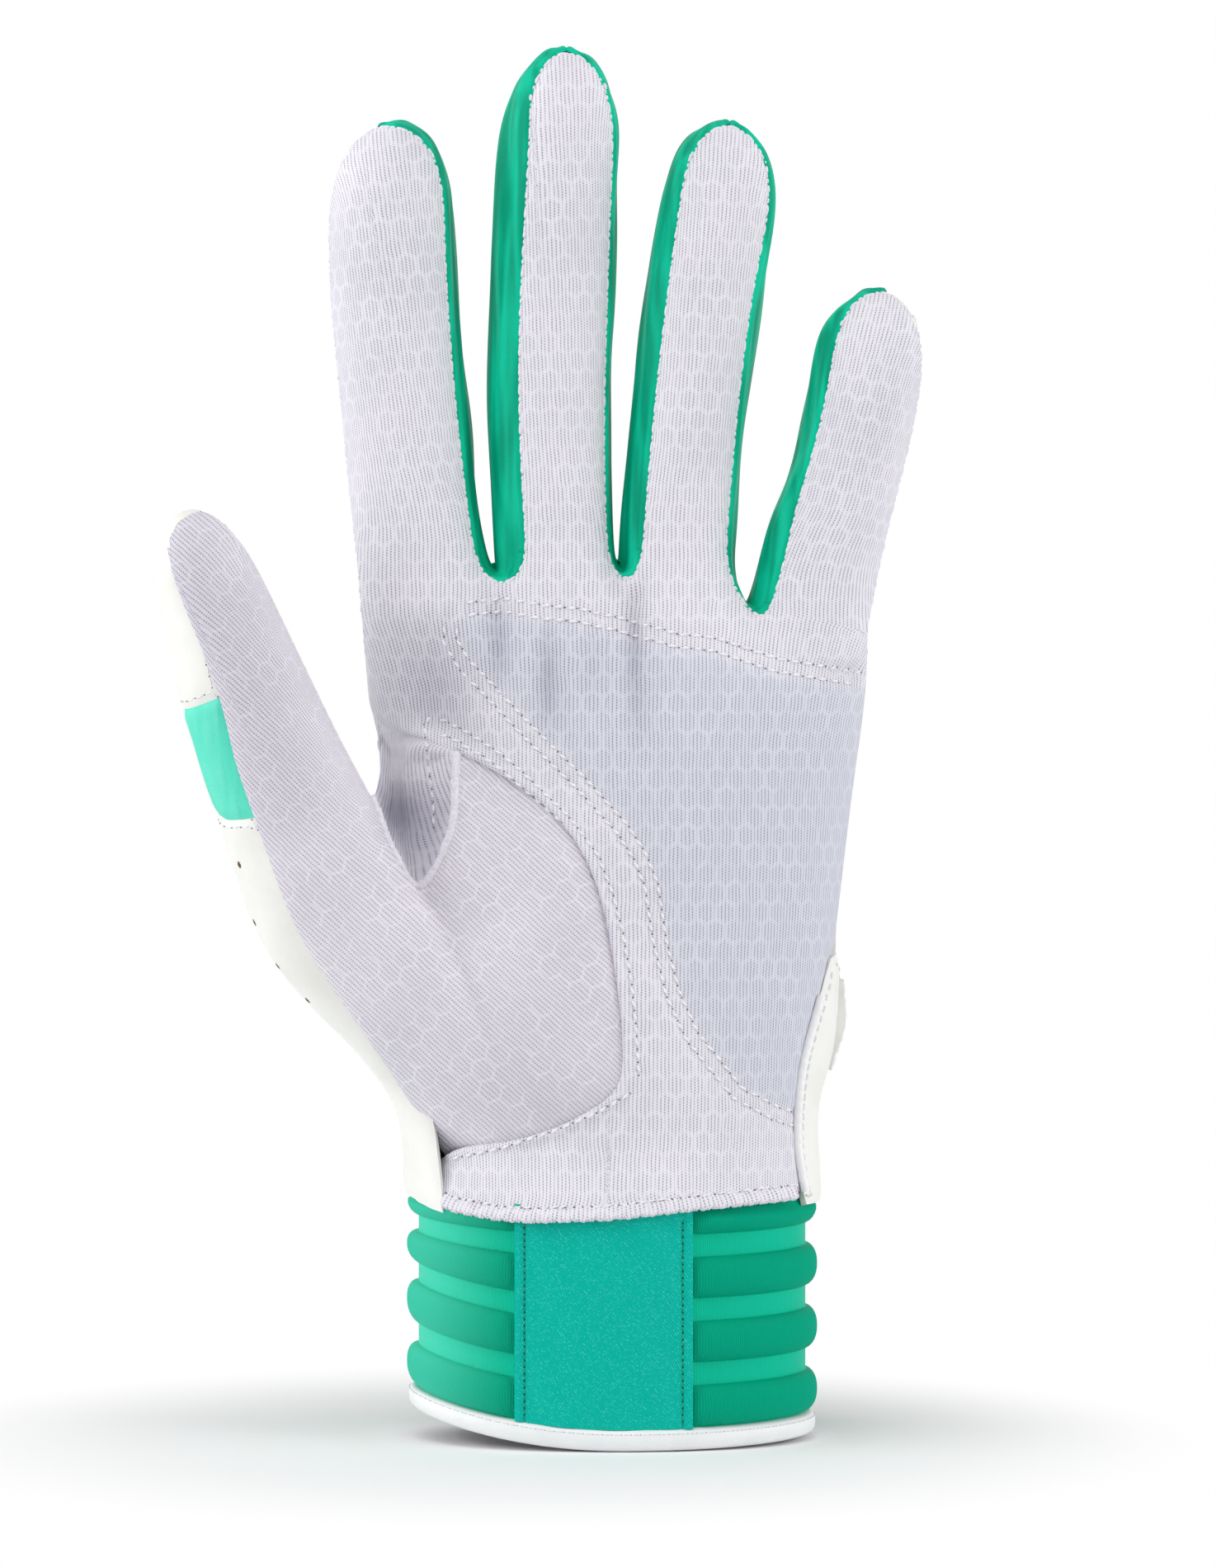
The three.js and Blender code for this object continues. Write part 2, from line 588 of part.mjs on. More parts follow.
// The thumb pulls this surface out of the plain hand form only near its left edge.
function backSurface(u, v) {
  const angle = lerp(-Math.PI / 2, Math.PI / 2, u);
  const z = lerp(HEM.low, KNUCKLE_Z, v);
  const plain = ovalBack(angle, z);
  plain.z += lift(plain.x) * (1 - v);
  const corner = ovalBack(-Math.PI / 2, z);
  corner.z += lift(corner.x) * (1 - v);
  const pull = backLeft.getPoint(v).sub(corner);
  const fade = lerp(THUMB_PULL, WEB_PULL, smoothstep(v, 0.66, 0.84));
  return plain.addScaledVector(pull, Math.max(0, 1 - u) ** fade);
}

// Part of the back, its columns running right to left as seen from the palm.
function backGrid(from, to, low, high, columns, rows) {
  return steps(low, high, rows).map((v) => {
    const a = typeof from === 'function' ? from(v) : from;
    const b = typeof to === 'function' ? to(v) : to;
    return steps(b, a, columns).map((u) => backSurface(u, v));
  });
}

const backWidth = HAND_RIGHT[1] - HAND_LEFT[1];
const slitGap = (v) => (SEAM / 2 + SLIT.open * (1 - smoothstep(v, 0, SLIT.top))) / backWidth;
const slitLeft = (v) => SLIT.share - slitGap(v);
const slitRight = (v) => SLIT.share + slitGap(v);
add('back_panel', sheet(backGrid(0, slitLeft, 0, 1, 11, 10), LEATHER), WHITE_LEATHER, 0.5);
add('back_side_panel', sheet(backGrid(slitRight, 1, 0, 1, 7, 10), LEATHER), WHITE_LEATHER, 0.5);

// Leather over the outer side of the thumb's root, between thenar and back.
const hingeSide = round(thumb, thumb.flank(-SEAM / 2, -1), -1, 4);
const sideRows = steps(0.04, 1, 8).map((t) => {
  const front = sideFront.getPoint(t);
  const back = sideBack.getPoint(t);
  const full = smoothstep(t, -0.3, 1);
  return hingeSide.map((p, c) => {
    const q = lerp(0.95, 0.04, c / 4);
    const chord = hingeSide[4].clone().lerp(hingeSide[0], 1 - c / 4);
    return front.clone().lerp(back, q).add(p.clone().sub(chord).multiplyScalar(full));
  });
});
add('thumb_side_base', sheet(sideRows, LEATHER), WHITE_LEATHER, 0.5);

// The pocket of the web, sunk between thumb, thenar, palm and back.
const webRight = thenarRight.at(-1);
const webCorner = new THREE.Vector3(WEB_LEFT[0] + 0.6, -0.8, WEB_LEFT[1] - 1.4);
const webThumb = thumb.at(thumb.flank(-4 * SEAM, 1), Math.PI / 2);
const webEdges = {
  bottom: steps(0, 1, 5).map((t) => webFold.getPoint(t)),
  top: steps(0, 1, 5).map((t) => webThumb.clone().lerp(webCorner, t)),
  left: steps(0, 1, 5).map((t) => webLow.clone().lerp(webThumb, t)),
  right: steps(0, 1, 5).map((t) => webRight.clone().lerp(webCorner, t)),
};
const webRows = fill(webEdges.bottom, webEdges.top, webEdges.left, webEdges.right);
const webCentre = webRows[2][2].clone();
webRows.forEach((row, j) => row.forEach((p, i) => {
  p.lerp(webCentre, 0.12);
  p.y += WEB_SINK * Math.sin(Math.PI * i / 5) * Math.sin(Math.PI * j / 5) + 0.4;
}));
add('thumb_web', sheet(webRows, KNIT), WHITE_KNIT);

// Leather at the little-finger side of the wrist, edged by a piping along the palm.
function ovalFront(angle, z) {
  const half = (rightAt(z) - leftAt(z)) / 2;
  return new THREE.Vector3(
    leftAt(z) + half * (1 + across(angle)),
    -Math.max(SEAM / 2, palmDepth(z) * deep(angle)),
    z,
  );
}

function edgeAngle(z) {
  const half = (rightAt(z) - leftAt(z)) / 2;
  return angleOf((palmRightEdge(z) - leftAt(z)) / half - 1);
}

const wristRows = steps(BODY_LOW, SIDE_TOP - 6, 6).map((z) => (
  steps(edgeAngle(z) + SEAM / palmDepth(z), Math.PI / 2, 4).map((angle) => ovalFront(angle, z))
));
add('wrist_side_panel', sheet(wristRows, LEATHER), WHITE_LEATHER, 0.5);
const pipingPath = new THREE.CatmullRomCurve3(steps(BODY_LOW, SIDE_TOP - 5, 5).map((z) => {
  const p = ovalFront(edgeAngle(z), z);
  return p.add(new THREE.Vector3(0.55, -0.85, 0).multiplyScalar(PIPING + SEAM));
}));

function circle(radius, count) {
  const shape = new THREE.Shape();
  shape.absarc(0, 0, radius, 0, 2 * Math.PI);
  return new THREE.Shape(shape.getPoints(count).slice(0, -1));
}

function cord(path, radius, count) {
  return new THREE.ExtrudeGeometry(circle(radius, 2), { steps: count, extrudePath: path });
}

add('side_piping', cord(pipingPath, PIPING, 14), WHITE_TRIM);

// Closure: a bound slit, and a strap that hooks over it.
function onBack(u, v, height) {
  const e = 0.01;
  const du = backSurface(u - e, v).sub(backSurface(u + e, v));
  const dv = backSurface(u, v + e).sub(backSurface(u, v - e));
  return backSurface(u, v).addScaledVector(du.cross(dv).normalize(), height);
}

const bindingHeight = SEAM + 0.8;
const slitPath = new THREE.CatmullRomCurve3([
  ...[0.01, 0.09, 0.18, 0.25].map((v) => onBack(slitLeft(v) - 0.012, v, bindingHeight)),
]);
add('slit_binding_left', cord(slitPath, 0.8, 8), WHITE_TRIM);
const slitPathRight = new THREE.CatmullRomCurve3([
  ...[0.01, 0.09, 0.18, 0.25].map((v) => onBack(slitRight(v) + 0.012, v, bindingHeight)),
]);
add('slit_binding_right', cord(slitPathRight, 0.8, 8), WHITE_TRIM);

function patchOnBack(range, low, high, height, columns) {
  return steps(low, high, 4).map((v) => (
    steps(range[1], range[0], columns).map((u) => onBack(u, v, height(u)))
  ));
}

const strapHeight = (u) => STRAP.thick + lerp(SEAM, STRAP.lift, smoothstep(u, 0.3, 0.62));
const strapMiddle = (STRAP.low + STRAP.high) / 2;
const strapRows = steps(-1, 1, 6).map((s) => {
  const v = strapMiddle + s * (STRAP.high - STRAP.low) / 2;
  const end = STRAP.to - 0.05 * (1 - Math.sqrt(1 - 0.9 * s * s));
  return steps(end, STRAP.from, 14).map((u) => onBack(u, v, strapHeight(u)));
});
add('closure_strap', sheet(strapRows, STRAP.thick), WHITE_LEATHER, 0.5);
const patchLow = STRAP.low + 0.025;
const patchHigh = STRAP.high - 0.025;
const hookHeight = (u) => strapHeight(u) - STRAP.thick - SEAM;
const hookRange = [PATCH.from, PATCH.to];
add('hook_patch', sheet(patchOnBack(hookRange, patchLow, patchHigh, hookHeight, 6), PATCH.thick), GREY_TAPE);
const loopHeight = () => SEAM + PATCH.thick;
const loopRange = [PATCH.from - 0.04, PATCH.to];
add('loop_patch', sheet(patchOnBack(loopRange, patchLow, patchHigh, loopHeight, 6), PATCH.thick), GREY_TAPE);
const anchorRows = patchOnBack(ANCHOR, STRAP.low, STRAP.high, () => STRAP.thick + SEAM, 4);
add('strap_anchor', sheet(anchorRows, STRAP.thick), WHITE_LEATHER, 0.5);

// Cuff: a ribbed band open at the front, where the label panel closes it, lined and bound.
function onCuff(angle, out, z) {
  const x = CUFF.x + (CUFF.wide + out) * across(angle);
  return new THREE.Vector3(x, -(CUFF.deep + out) * deep(angle), z + lift(x));
}

const ribSection = steps(0, RIBS.count - 1, RIBS.count - 1).flatMap((k) => {
  const centre = RIBS.first + k * RIBS.pitch;
  return steps(-1, 1, 4).map((s) => [RIBS.proud * Math.sqrt(1 - s * s), centre + s * RIBS.high / 2]);
});
const bandLow = BINDING.high + SEAM;
const bandSection = [
  [-BAND, bandLow], [0, bandLow], ...ribSection.filter(([, z]) => z < CUFF.top - 0.3), [0, CUFF.top],
  [-BAND, CUFF.top],
];
const bandGap = SEAM / CUFF.wide;
const bandAngles = steps(LABEL[1] + bandGap, 2 * Math.PI + LABEL[0] - bandGap, 30);
add('cuff_band', sweep(bandSection, bandAngles, onCuff, false), GREEN, 0.6);

const labelRows = steps(bandLow, CUFF.top, 4)
  .map((z) => steps(...LABEL, 8).map((angle) => onCuff(angle, 0.9, z)));
add('cuff_label', sheet(labelRows, LEATHER), GREEN_SATIN, 0.4);

const ringAngles = steps(0, 2 * Math.PI, 36).slice(0, -1);
const liningOuter = -BAND - SEAM;
const liningSection = [
  [liningOuter - LINING, bandLow], [liningOuter, bandLow],
  [liningOuter, CUFF.top], [liningOuter - LINING, CUFF.top],
];
add('cuff_lining', sweep(liningSection, ringAngles, onCuff, true), WHITE_TRIM);

const { inner, outer, high } = BINDING;
const bindingSection = [
  [inner, 0.6], [inner + 0.6, 0], [outer - 1, 0], [outer - 0.2, 0.7], [outer, high / 2],
  [outer - 0.2, high - 0.7], [outer - 1, high], [inner + 0.6, high], [inner, high - 0.6],
];
add('cuff_binding', sweep(bindingSection, ringAngles, onCuff, true), WHITE_TRIM);

const hemAngles = steps(degToRad(-84), degToRad(80), 20);
const hemRows = steps(HEM.low, HEM.high, 3)
  .map((z) => hemAngles.map((angle) => onCuff(angle, HEM.proud, z)));
add('wrist_hem', sheet(hemRows, LEATHER), WHITE_TRIM);

// Where the digits fold, on the palm side, and the strap swings, on its outer face.
function fold(d) {
  const f = d.frame(0);
  return { at: f.origin.addScaledVector(f.back, -f.thick), axis: f.side };
}

const strapGap = (ANCHOR[1] + STRAP.from) / 2;
const strapFoot = onBack(strapGap, STRAP.low, STRAP.thick + SEAM);
const strapHead = onBack(strapGap, STRAP.high, STRAP.thick + SEAM);
const folds = Object.fromEntries([...fingers, thumb].map((d) => [d.name, fold(d)]));
folds.strap = { at: strapFoot, axis: strapHead.clone().sub(strapFoot).normalize() };

// The part's frame: the centre of its bounding box, at the bottom.
const box = new THREE.Box3().setFromObject(glove);
const shift = box.getCenter(new THREE.Vector3()).setZ(box.min.z).negate();
glove.children.forEach((mesh) => mesh.geometry.translate(...shift.toArray()));
Object.values(folds).forEach(({ at }) => at.add(shift));
glove.userData = { folds };

export default glove;
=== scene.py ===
# %% [markdown]
# # A batting glove in knit, leather and stretch cloth
#
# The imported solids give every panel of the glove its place, its size and the body it moves with.
# This file dresses them: each panel becomes sewn cloth with its own weave, seams and stitches.
# All lengths are in metres in the solids' own frame, so a size in millimetres is written times MM.

# %% The frame
import json
import math
from collections import Counter

import bmesh
import bpy
import numpy as np
from mathutils import Matrix, Vector
from mathutils import noise as soft_noise
from mathutils.bvhtree import BVHTree
from mathutils.kdtree import KDTree

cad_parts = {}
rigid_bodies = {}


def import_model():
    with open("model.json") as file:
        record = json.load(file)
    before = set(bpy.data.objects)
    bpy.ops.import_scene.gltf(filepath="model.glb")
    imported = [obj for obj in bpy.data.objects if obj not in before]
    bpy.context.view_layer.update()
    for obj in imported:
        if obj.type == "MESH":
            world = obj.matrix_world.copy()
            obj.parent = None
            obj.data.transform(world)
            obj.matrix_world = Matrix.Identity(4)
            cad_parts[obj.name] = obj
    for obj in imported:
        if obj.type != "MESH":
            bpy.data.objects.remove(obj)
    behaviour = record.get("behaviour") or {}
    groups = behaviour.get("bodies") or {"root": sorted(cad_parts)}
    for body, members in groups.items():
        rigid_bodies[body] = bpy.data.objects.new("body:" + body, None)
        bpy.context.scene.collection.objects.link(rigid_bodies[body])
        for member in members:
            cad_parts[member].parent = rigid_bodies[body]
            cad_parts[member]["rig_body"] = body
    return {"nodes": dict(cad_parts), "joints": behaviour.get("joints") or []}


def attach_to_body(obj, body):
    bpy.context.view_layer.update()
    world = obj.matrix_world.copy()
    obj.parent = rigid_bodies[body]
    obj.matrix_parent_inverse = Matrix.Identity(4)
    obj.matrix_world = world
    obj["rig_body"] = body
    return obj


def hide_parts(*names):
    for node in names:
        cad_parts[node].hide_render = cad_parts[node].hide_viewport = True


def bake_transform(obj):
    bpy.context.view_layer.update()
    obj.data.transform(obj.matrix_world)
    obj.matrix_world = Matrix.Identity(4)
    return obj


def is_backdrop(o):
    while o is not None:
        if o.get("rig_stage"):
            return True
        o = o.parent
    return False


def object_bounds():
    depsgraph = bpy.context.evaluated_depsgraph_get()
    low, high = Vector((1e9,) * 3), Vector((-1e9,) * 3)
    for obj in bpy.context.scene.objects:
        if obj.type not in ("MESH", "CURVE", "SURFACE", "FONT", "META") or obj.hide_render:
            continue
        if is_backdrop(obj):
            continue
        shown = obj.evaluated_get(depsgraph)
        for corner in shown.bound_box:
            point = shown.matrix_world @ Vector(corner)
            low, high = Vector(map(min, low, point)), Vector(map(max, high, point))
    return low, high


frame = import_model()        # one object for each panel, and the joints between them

MM = 0.001
cad_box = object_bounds()

# %% [markdown]
# ## Camera
#
# The glove is seen straight on from its palm side, from a little under a metre. A long lens keeps
# the fingers from spreading. The lens follows from the height of the picture and the distance.

# %% Camera
VIEW_TALL = 253.5 * MM
VIEW_AWAY = 850 * MM
VIEW_CENTRE = Vector((11.1, 0.8, 105.3)) * MM
bpy.ops.object.camera_add(location=VIEW_CENTRE - Vector((0, VIEW_AWAY, 0)), rotation=(math.pi / 2, 0, 0))
camera = bpy.context.object
camera.data.lens = camera.data.sensor_width * VIEW_AWAY / VIEW_TALL
camera.data.clip_end = 20
bpy.context.scene.camera = camera
bpy.context.scene.view_settings.view_transform = "Standard"
print("lens", round(camera.data.lens, 1), "mm")

# %% [markdown]
# ## Shader nodes from Python
#
# A node tree reads best as arithmetic. `Wire` wraps a socket, and each operator on it adds a Math
# node. `Tree.add` makes any other node from its type, its settings and what its sockets take.
# A `Finish` is a material: numbers that are the same all over go straight onto its shader.

# %% Wires
class Wire:
    """A node's output, on which arithmetic adds Math nodes."""

    def __init__(self, tree, socket):
        self.tree = tree
        self.socket = socket

    def math(self, operation, *values):
        return self.tree.add("ShaderNodeMath", {"operation": operation}, dict(enumerate(values)))

    def __add__(self, other):
        return self.math("ADD", self, other)

    def __radd__(self, other):
        return self.math("ADD", other, self)

    def __sub__(self, other):
        return self.math("SUBTRACT", self, other)

    def __rsub__(self, other):
        return self.math("SUBTRACT", other, self)

    def __mul__(self, other):
        return self.math("MULTIPLY", self, other)

    def __rmul__(self, other):
        return self.math("MULTIPLY", other, self)

    def __truediv__(self, other):
        return self.math("DIVIDE", self, other)

    def __abs__(self):
        return self.math("ABSOLUTE", self)

    def floor(self):
        return self.math("FLOOR", self)

    def part(self):
        return self.math("FRACT", self)

    def most(self, other):
        return self.math("MAXIMUM", self, other)

    def least(self, other):
        return self.math("MINIMUM", self, other)

    def wave(self, pitch):
        """From 0 to 1 and back over each pitch."""
        return self.math("COSINE", self * (2 * math.pi / pitch)) * -0.5 + 0.5

    def peak(self):
        """1 in the middle of each whole step, 0 at its ends."""
        return 1 - abs(self.part() - 0.5) * 2

    def step(self, low, high):
        """Rises smoothly from 0 at low to 1 at high."""
        ends = {"Value": self, "From Min": low, "From Max": high}
        return self.tree.add("ShaderNodeMapRange", {"interpolation_type": "SMOOTHSTEP"}, ends)


print("a Wire turns arithmetic into Math nodes")

# %% Trees
class Tree:
    """Adds nodes to the node tree of a material or a world."""

    def __init__(self, owner):
        owner.use_nodes = True
        self.nodes = owner.node_tree.nodes
        self.links = owner.node_tree.links

    def put(self, socket, value):
        if isinstance(value, Wire):
            self.links.new(value.socket, socket)
        else:
            socket.default_value = value

    def add(self, kind, settings=None, inputs=None, out=0):
        node = self.nodes.new(kind)
        for name, value in (settings or {}).items():
            setattr(node, name, value)
        for key, value in (inputs or {}).items():
            self.put(node.inputs[key], value)
        return Wire(self, node.outputs[out])

    def mix(self, share, first, second, blend="MIX"):
        """A colour between two others."""
        settings = {"data_type": "RGBA", "blend_type": blend}
        return self.add("ShaderNodeMix", settings, {0: share, 6: first, 7: second}, out=2)

    def split(self, vector):
        parts = self.add("ShaderNodeSeparateXYZ", None, {0: vector}).socket.node.outputs
        return [Wire(self, part) for part in parts]


print("a Tree adds any node")

# %% Finishes
class Finish(Tree):
    """A material with the numbers that hold all over it set on its shader."""

    def __init__(self, name, surface):
        self.material = bpy.data.materials.new(name)
        super().__init__(self.material)
        self.shader = self.nodes["Principled BSDF"]
        for socket, value in surface.items():
            self.shader.inputs[socket].default_value = value

    def paint(self, colour):
        self.put(self.shader.inputs["Base Color"], colour)

    def gloss(self, roughness):
        self.put(self.shader.inputs["Roughness"], roughness)

    def emboss(self, height, strength=1.0):
        """Height in millimetres."""
        bump = self.add("ShaderNodeBump", None, {"Height": height, "Distance": MM, "Strength": strength})
        self.put(self.shader.inputs["Normal"], bump)

    def cloth(self):
        """Across and along the weave, and how far in from the seam, in millimetres."""
        return self.split(self.add("ShaderNodeAttribute", {"attribute_name": "cloth"}, out="Vector"))

    def place(self):
        return self.add("ShaderNodeTexCoord", out="Object")

    def noise(self, size, detail=2.0, vector=None):
        """Soft noise from 0 to 1 with lumps of about the size, in millimetres."""
        inputs = {"Vector": vector or self.place(), "Scale": 1 / (size * MM), "Detail": detail}
        return self.add("ShaderNodeTexNoise", None, inputs)


def colour(red, green, blue):
    """A colour as on a paint chart, 0 to 255, in the linear light that shaders use."""
    chart = [value / 255 for value in (red, green, blue)]
    return [*(((value + 0.055) / 1.055) ** 2.4 for value in chart), 1]


print("a Finish is a material with one shader")

# %% [markdown]
# ## Stage and light
#
# A product like this is shot in a white tent: light comes from everywhere, most of it from both
# sides, so that the palm has soft shade and the outline stays bright. The world is white to the
# camera. The floor takes the glove's shadow near it and fades to the same white further away.

# %% Tent and floor
FLOOR_WIDE = 8
SHADOW_REACH = (0.035, 0.11)
WORLD_LEVEL = 0.43


def seen_directly(tree):
    """1 for what the camera sees, also in a mirror or through glass."""
    path = tree.add("ShaderNodeLightPath").socket.node.outputs
    rays = [Wire(tree, path[name]) for name in ("Is Camera Ray", "Is Glossy Ray", "Is Transmission Ray")]
    return rays[0].most(rays[1]).most(rays[2])


world = bpy.data.worlds.new("tent")
bpy.context.scene.world = world
tent = Tree(world)
seen = seen_directly(tent)
tent.put(tent.nodes["Background"].inputs["Color"], [1, 1, 1, 1])
tent.put(tent.nodes["Background"].inputs["Strength"], seen * (1 - WORLD_LEVEL) + WORLD_LEVEL)

bpy.ops.object.select_all(action="DESELECT")
bpy.ops.mesh.primitive_grid_add(x_subdivisions=8, y_subdivisions=8, size=FLOOR_WIDE)
floor = bpy.context.object
floor.name = "floor"
paper = Finish("white paper", {"Roughness": 0.9, "Base Color": colour(243, 243, 244)})
east, north, _ = paper.split(paper.place())
away = (east * east + north * north).step(SHADOW_REACH[0] ** 2, SHADOW_REACH[1] ** 2)
glow = paper.add("ShaderNodeEmission", None, {"Color": [1, 1, 1, 1]})
mixed = paper.add("ShaderNodeMixShader", None, {0: away * seen_directly(paper), 2: glow})
paper.links.new(paper.shader.outputs[0], mixed.socket.node.inputs[1])
paper.links.new(mixed.socket, paper.nodes["Material Output"].inputs["Surface"])
floor.data.materials.append(paper.material)
floor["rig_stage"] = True
print("floor", FLOOR_WIDE, "m wide, with a shadow out to", SHADOW_REACH[1], "m")

# %% Softboxes
def softbox(name, place, size, power):
    """A square lamp at a place, turned to the glove."""
    bpy.ops.object.light_add(type="AREA", location=place)
    lamp = bpy.context.object
    lamp.name = name
    lamp.data.size = size
    lamp.data.energy = power
    lamp.rotation_euler = (VIEW_CENTRE - Vector(place)).to_track_quat("-Z", "Y").to_euler()


softbox("left_softbox", (-1.15, -0.3, 0.4), 0.9, 9)
softbox("right_softbox", (1.15, -0.4, 0.35), 0.9, 8)
softbox("top_softbox", (-0.2, -0.6, 1.3), 0.8, 5.5)
print("3 softboxes: left, right and top")

# %% [markdown]
# ## White knit
#
# The palm is a fine jersey: columns of loops with a row of small dark holes between each two.
# A tonal print of hexagons closes the holes along each outline. Loops this small would take
# millions of faces, so they are drawn in the finish, on coordinates that follow the cloth.

# %% White knit
WALE = 0.66
COURSE = 0.43
HEXAGON = 3.5


def hexagons(u, v):
    """How far in from its outline a point of a field of hexagons lies, in millimetres."""
    tall = HEXAGON * math.sqrt(3)

    def cell(shift):
        x = abs((u / HEXAGON + shift).part() - 0.5) * HEXAGON
        y = abs((v / tall + shift).part() - 0.5) * tall
        return x.most(x * 0.5 + y * (math.sqrt(3) / 2))

    return HEXAGON / 2 - cell(0).least(cell(0.5))


def knit(name, pale, cool, band, shade, wide, tones=None):
    """Jersey from a pale to a cool white, with the print in the band's colour and shaded holes.

    Where the cloth lies on a pad, or where shade is painted into the web's pocket, tones are the
    colours of its ground and its print.
    """
    finish = Finish(name, {"Roughness": 0.95, "Sheen Weight": 0.12, "Sheen Roughness": 0.5,
                           "Specular IOR Level": 0.1})
    u, v, _ = finish.cloth()
    drift = finish.noise(5.0)
    column = (u + drift * 0.5) / WALE
    row = v / COURSE + column.floor() * 0.5
    gap = column.peak()
    hole = gap.step(0.5, 0.95) * row.peak().step(0.15, 0.75)
    printed = 1 - hexagons(u + drift * 0.7, v).step(wide * 0.4, wide * 1.7)
    broken = finish.noise(4.5).step(0.38, 0.62)
    least = 0.27 if tones else 0.08
    printed = printed * (broken * 0.38 + least)
    hole = hole * (1 - printed * 0.9)
    depth = 0.72 if tones else 0.6
    ground = finish.mix(finish.noise(16.0).step(0.3, 0.7), pale, cool)
    if tones:
        pad = finish.add("ShaderNodeAttribute", {"attribute_name": "pad"}, out="Fac")
        ground = finish.mix(pad * 0.9, ground, tones[0])
        band = finish.mix(pad * 0.9, band, tones[1])
    ground = finish.mix(printed, ground, band)
    # Painted shade: a stored attribute greys the ground and darkens the holes in the palm's folds and down
    # the middle of the thumb.
    painted_shade = finish.add("ShaderNodeAttribute", {"attribute_name": "painted_shade"}, out="Fac")
    ground = finish.mix(painted_shade * 0.4, ground, colour(166, 166, 182))
    finish.paint(finish.mix(hole * (painted_shade * 0.3 + depth), ground, shade))
    finish.emboss((1 - gap * gap) * 0.05 - hole * 0.09 + finish.noise(1.1) * 0.05, 0.8)
    return finish.material


PALM_WHITE = [colour(231, 228, 235), colour(223, 221, 230), colour(232, 229, 237), colour(122, 116, 142)]
palm_knit = knit("palm knit", *PALM_WHITE, 0.34, tones=(colour(210, 213, 224), colour(216, 218, 228)))
# The web's tones are painted shade, for the depth of the pocket.
web_knit = knit("web knit", *PALM_WHITE, 0.34, tones=(colour(160, 157, 172), colour(164, 161, 176)))
thumb_knit = knit("thumb knit", colour(226, 221, 229), colour(216, 212, 222), colour(236, 232, 239),
                  colour(140, 132, 152), 0.2)
print("knit: wales", WALE, "mm apart, hexagons", HEXAGON, "mm across")

# %% [markdown]
# ## Green stretch
#
# The gussets are a shiny stretch cloth with fine ribs round the finger. Along its seams the cloth
# rolls over into a narrow twilled edge. Ribs this fine are drawn in the finish, on coordinates that
# follow the cloth, and slow folds along the finger get painted shade and sheen, darker and lighter.

# %% Green stretch
GUSSET_RIB = 0.26
TWILL = 0.42
ROLLED = 0.8
ALONG_FINGER = (1, 1, 0.12)


def stretch(name, light, dark, folds):
    """Ribbed stretch cloth between two greens, with a share of painted shade and sheen from slow folds."""
    finish = Finish(name, {"Roughness": 0.5, "Sheen Weight": 0.15, "Sheen Roughness": 0.4,
                           "Sheen Tint": colour(0, 235, 190), "Specular IOR Level": 0.06})
    u, v, edge = finish.cloth()
    rolled = 1 - edge.step(ROLLED * 0.7, ROLLED * 1.3)
    rib = (v + u * 0.35 + finish.noise(6.0) * 0.8).wave(GUSSET_RIB)
    twill = (v + edge * 1.3).wave(TWILL)
    thread = rib + (twill - rib) * rolled
    ends = {0: finish.place(), 1: ALONG_FINGER}
    drawn = finish.add("ShaderNodeVectorMath", {"operation": "MULTIPLY"}, ends)
    # Painted shade and sheen: slow folds along the finger turn the colour darker and lighter.
    fold = finish.noise(2.2, 1.0, drawn).step(0.32, 0.66)
    finish.paint(finish.mix(thread * 0.3 + fold * folds + rolled * 0.1, dark, light))
    finish.gloss(0.5 - thread * 0.12 + rolled * 0.15)
    finish.emboss(thread * 0.03 + fold * 0.12, 0.7)
    return finish.material


gusset_green = stretch("gusset stretch", colour(16, 204, 164), colour(0, 140, 108), 0.6)
knuckle_green = stretch("knuckle stretch", colour(16, 204, 164), colour(0, 156, 121), 0.2)
insert_green = stretch("thumb insert stretch", colour(128, 232, 210), colour(84, 218, 190), 0.3)
print("stretch: ribs", GUSSET_RIB, "mm apart, edges rolled over for", ROLLED, "mm")

# %% [markdown]
# ## Neoprene
#
# The cuff is neoprene with a finely lined face. Its flat band between the padded ribs is a lighter
# green, a painted sheen, and its left side is lighter still, a painted light from the left. The
# sheet's own height, kept in its third cloth coordinate, tells ribs from valleys, and the place
# across the cuff gives the painted light.

# %% Neoprene
NEOPRENE_LINE = 0.36
LEFT_LIGHT_X = (-21, -3)

neoprene = Finish("cuff neoprene", {"Roughness": 0.6, "Sheen Weight": 0.25, "Sheen Roughness": 0.35,
                                    "Sheen Tint": colour(0, 240, 200), "Specular IOR Level": 0.04})
u, _, raised = neoprene.cloth()
line = (u + neoprene.noise(4.0) * 0.3).wave(NEOPRENE_LINE)
# Painted sheen: the flat band's green is lighter than the ribs'.
rib_green = neoprene.mix(line * 0.6, colour(0, 148, 116), colour(0, 176, 140))
flat_green = neoprene.mix(line * 0.4, colour(0, 186, 150), colour(34, 206, 172))
# Painted light: the left side is mixed towards a light mint, as if lit from the left.
painted_left_light = 1 - (neoprene.split(neoprene.place())[0] / MM).step(*LEFT_LIGHT_X)
green = neoprene.mix(raised.step(0.05, 0.3), flat_green, rib_green)
neoprene.paint(neoprene.mix(painted_left_light * (0.62 - raised * 0.12), green, colour(96, 228, 200)))
neoprene.gloss(0.42 + raised * 0.2)
neoprene.emboss(line * 0.035, 0.8)
print("neoprene: lines", NEOPRENE_LINE, "mm apart")

# %% [markdown]
# ## Satin
#
# The panel at the cuff's front is satin, whose diagonal twill sparkles where a float catches the
# light. Cells drawn out along the twill choose which floats shine.

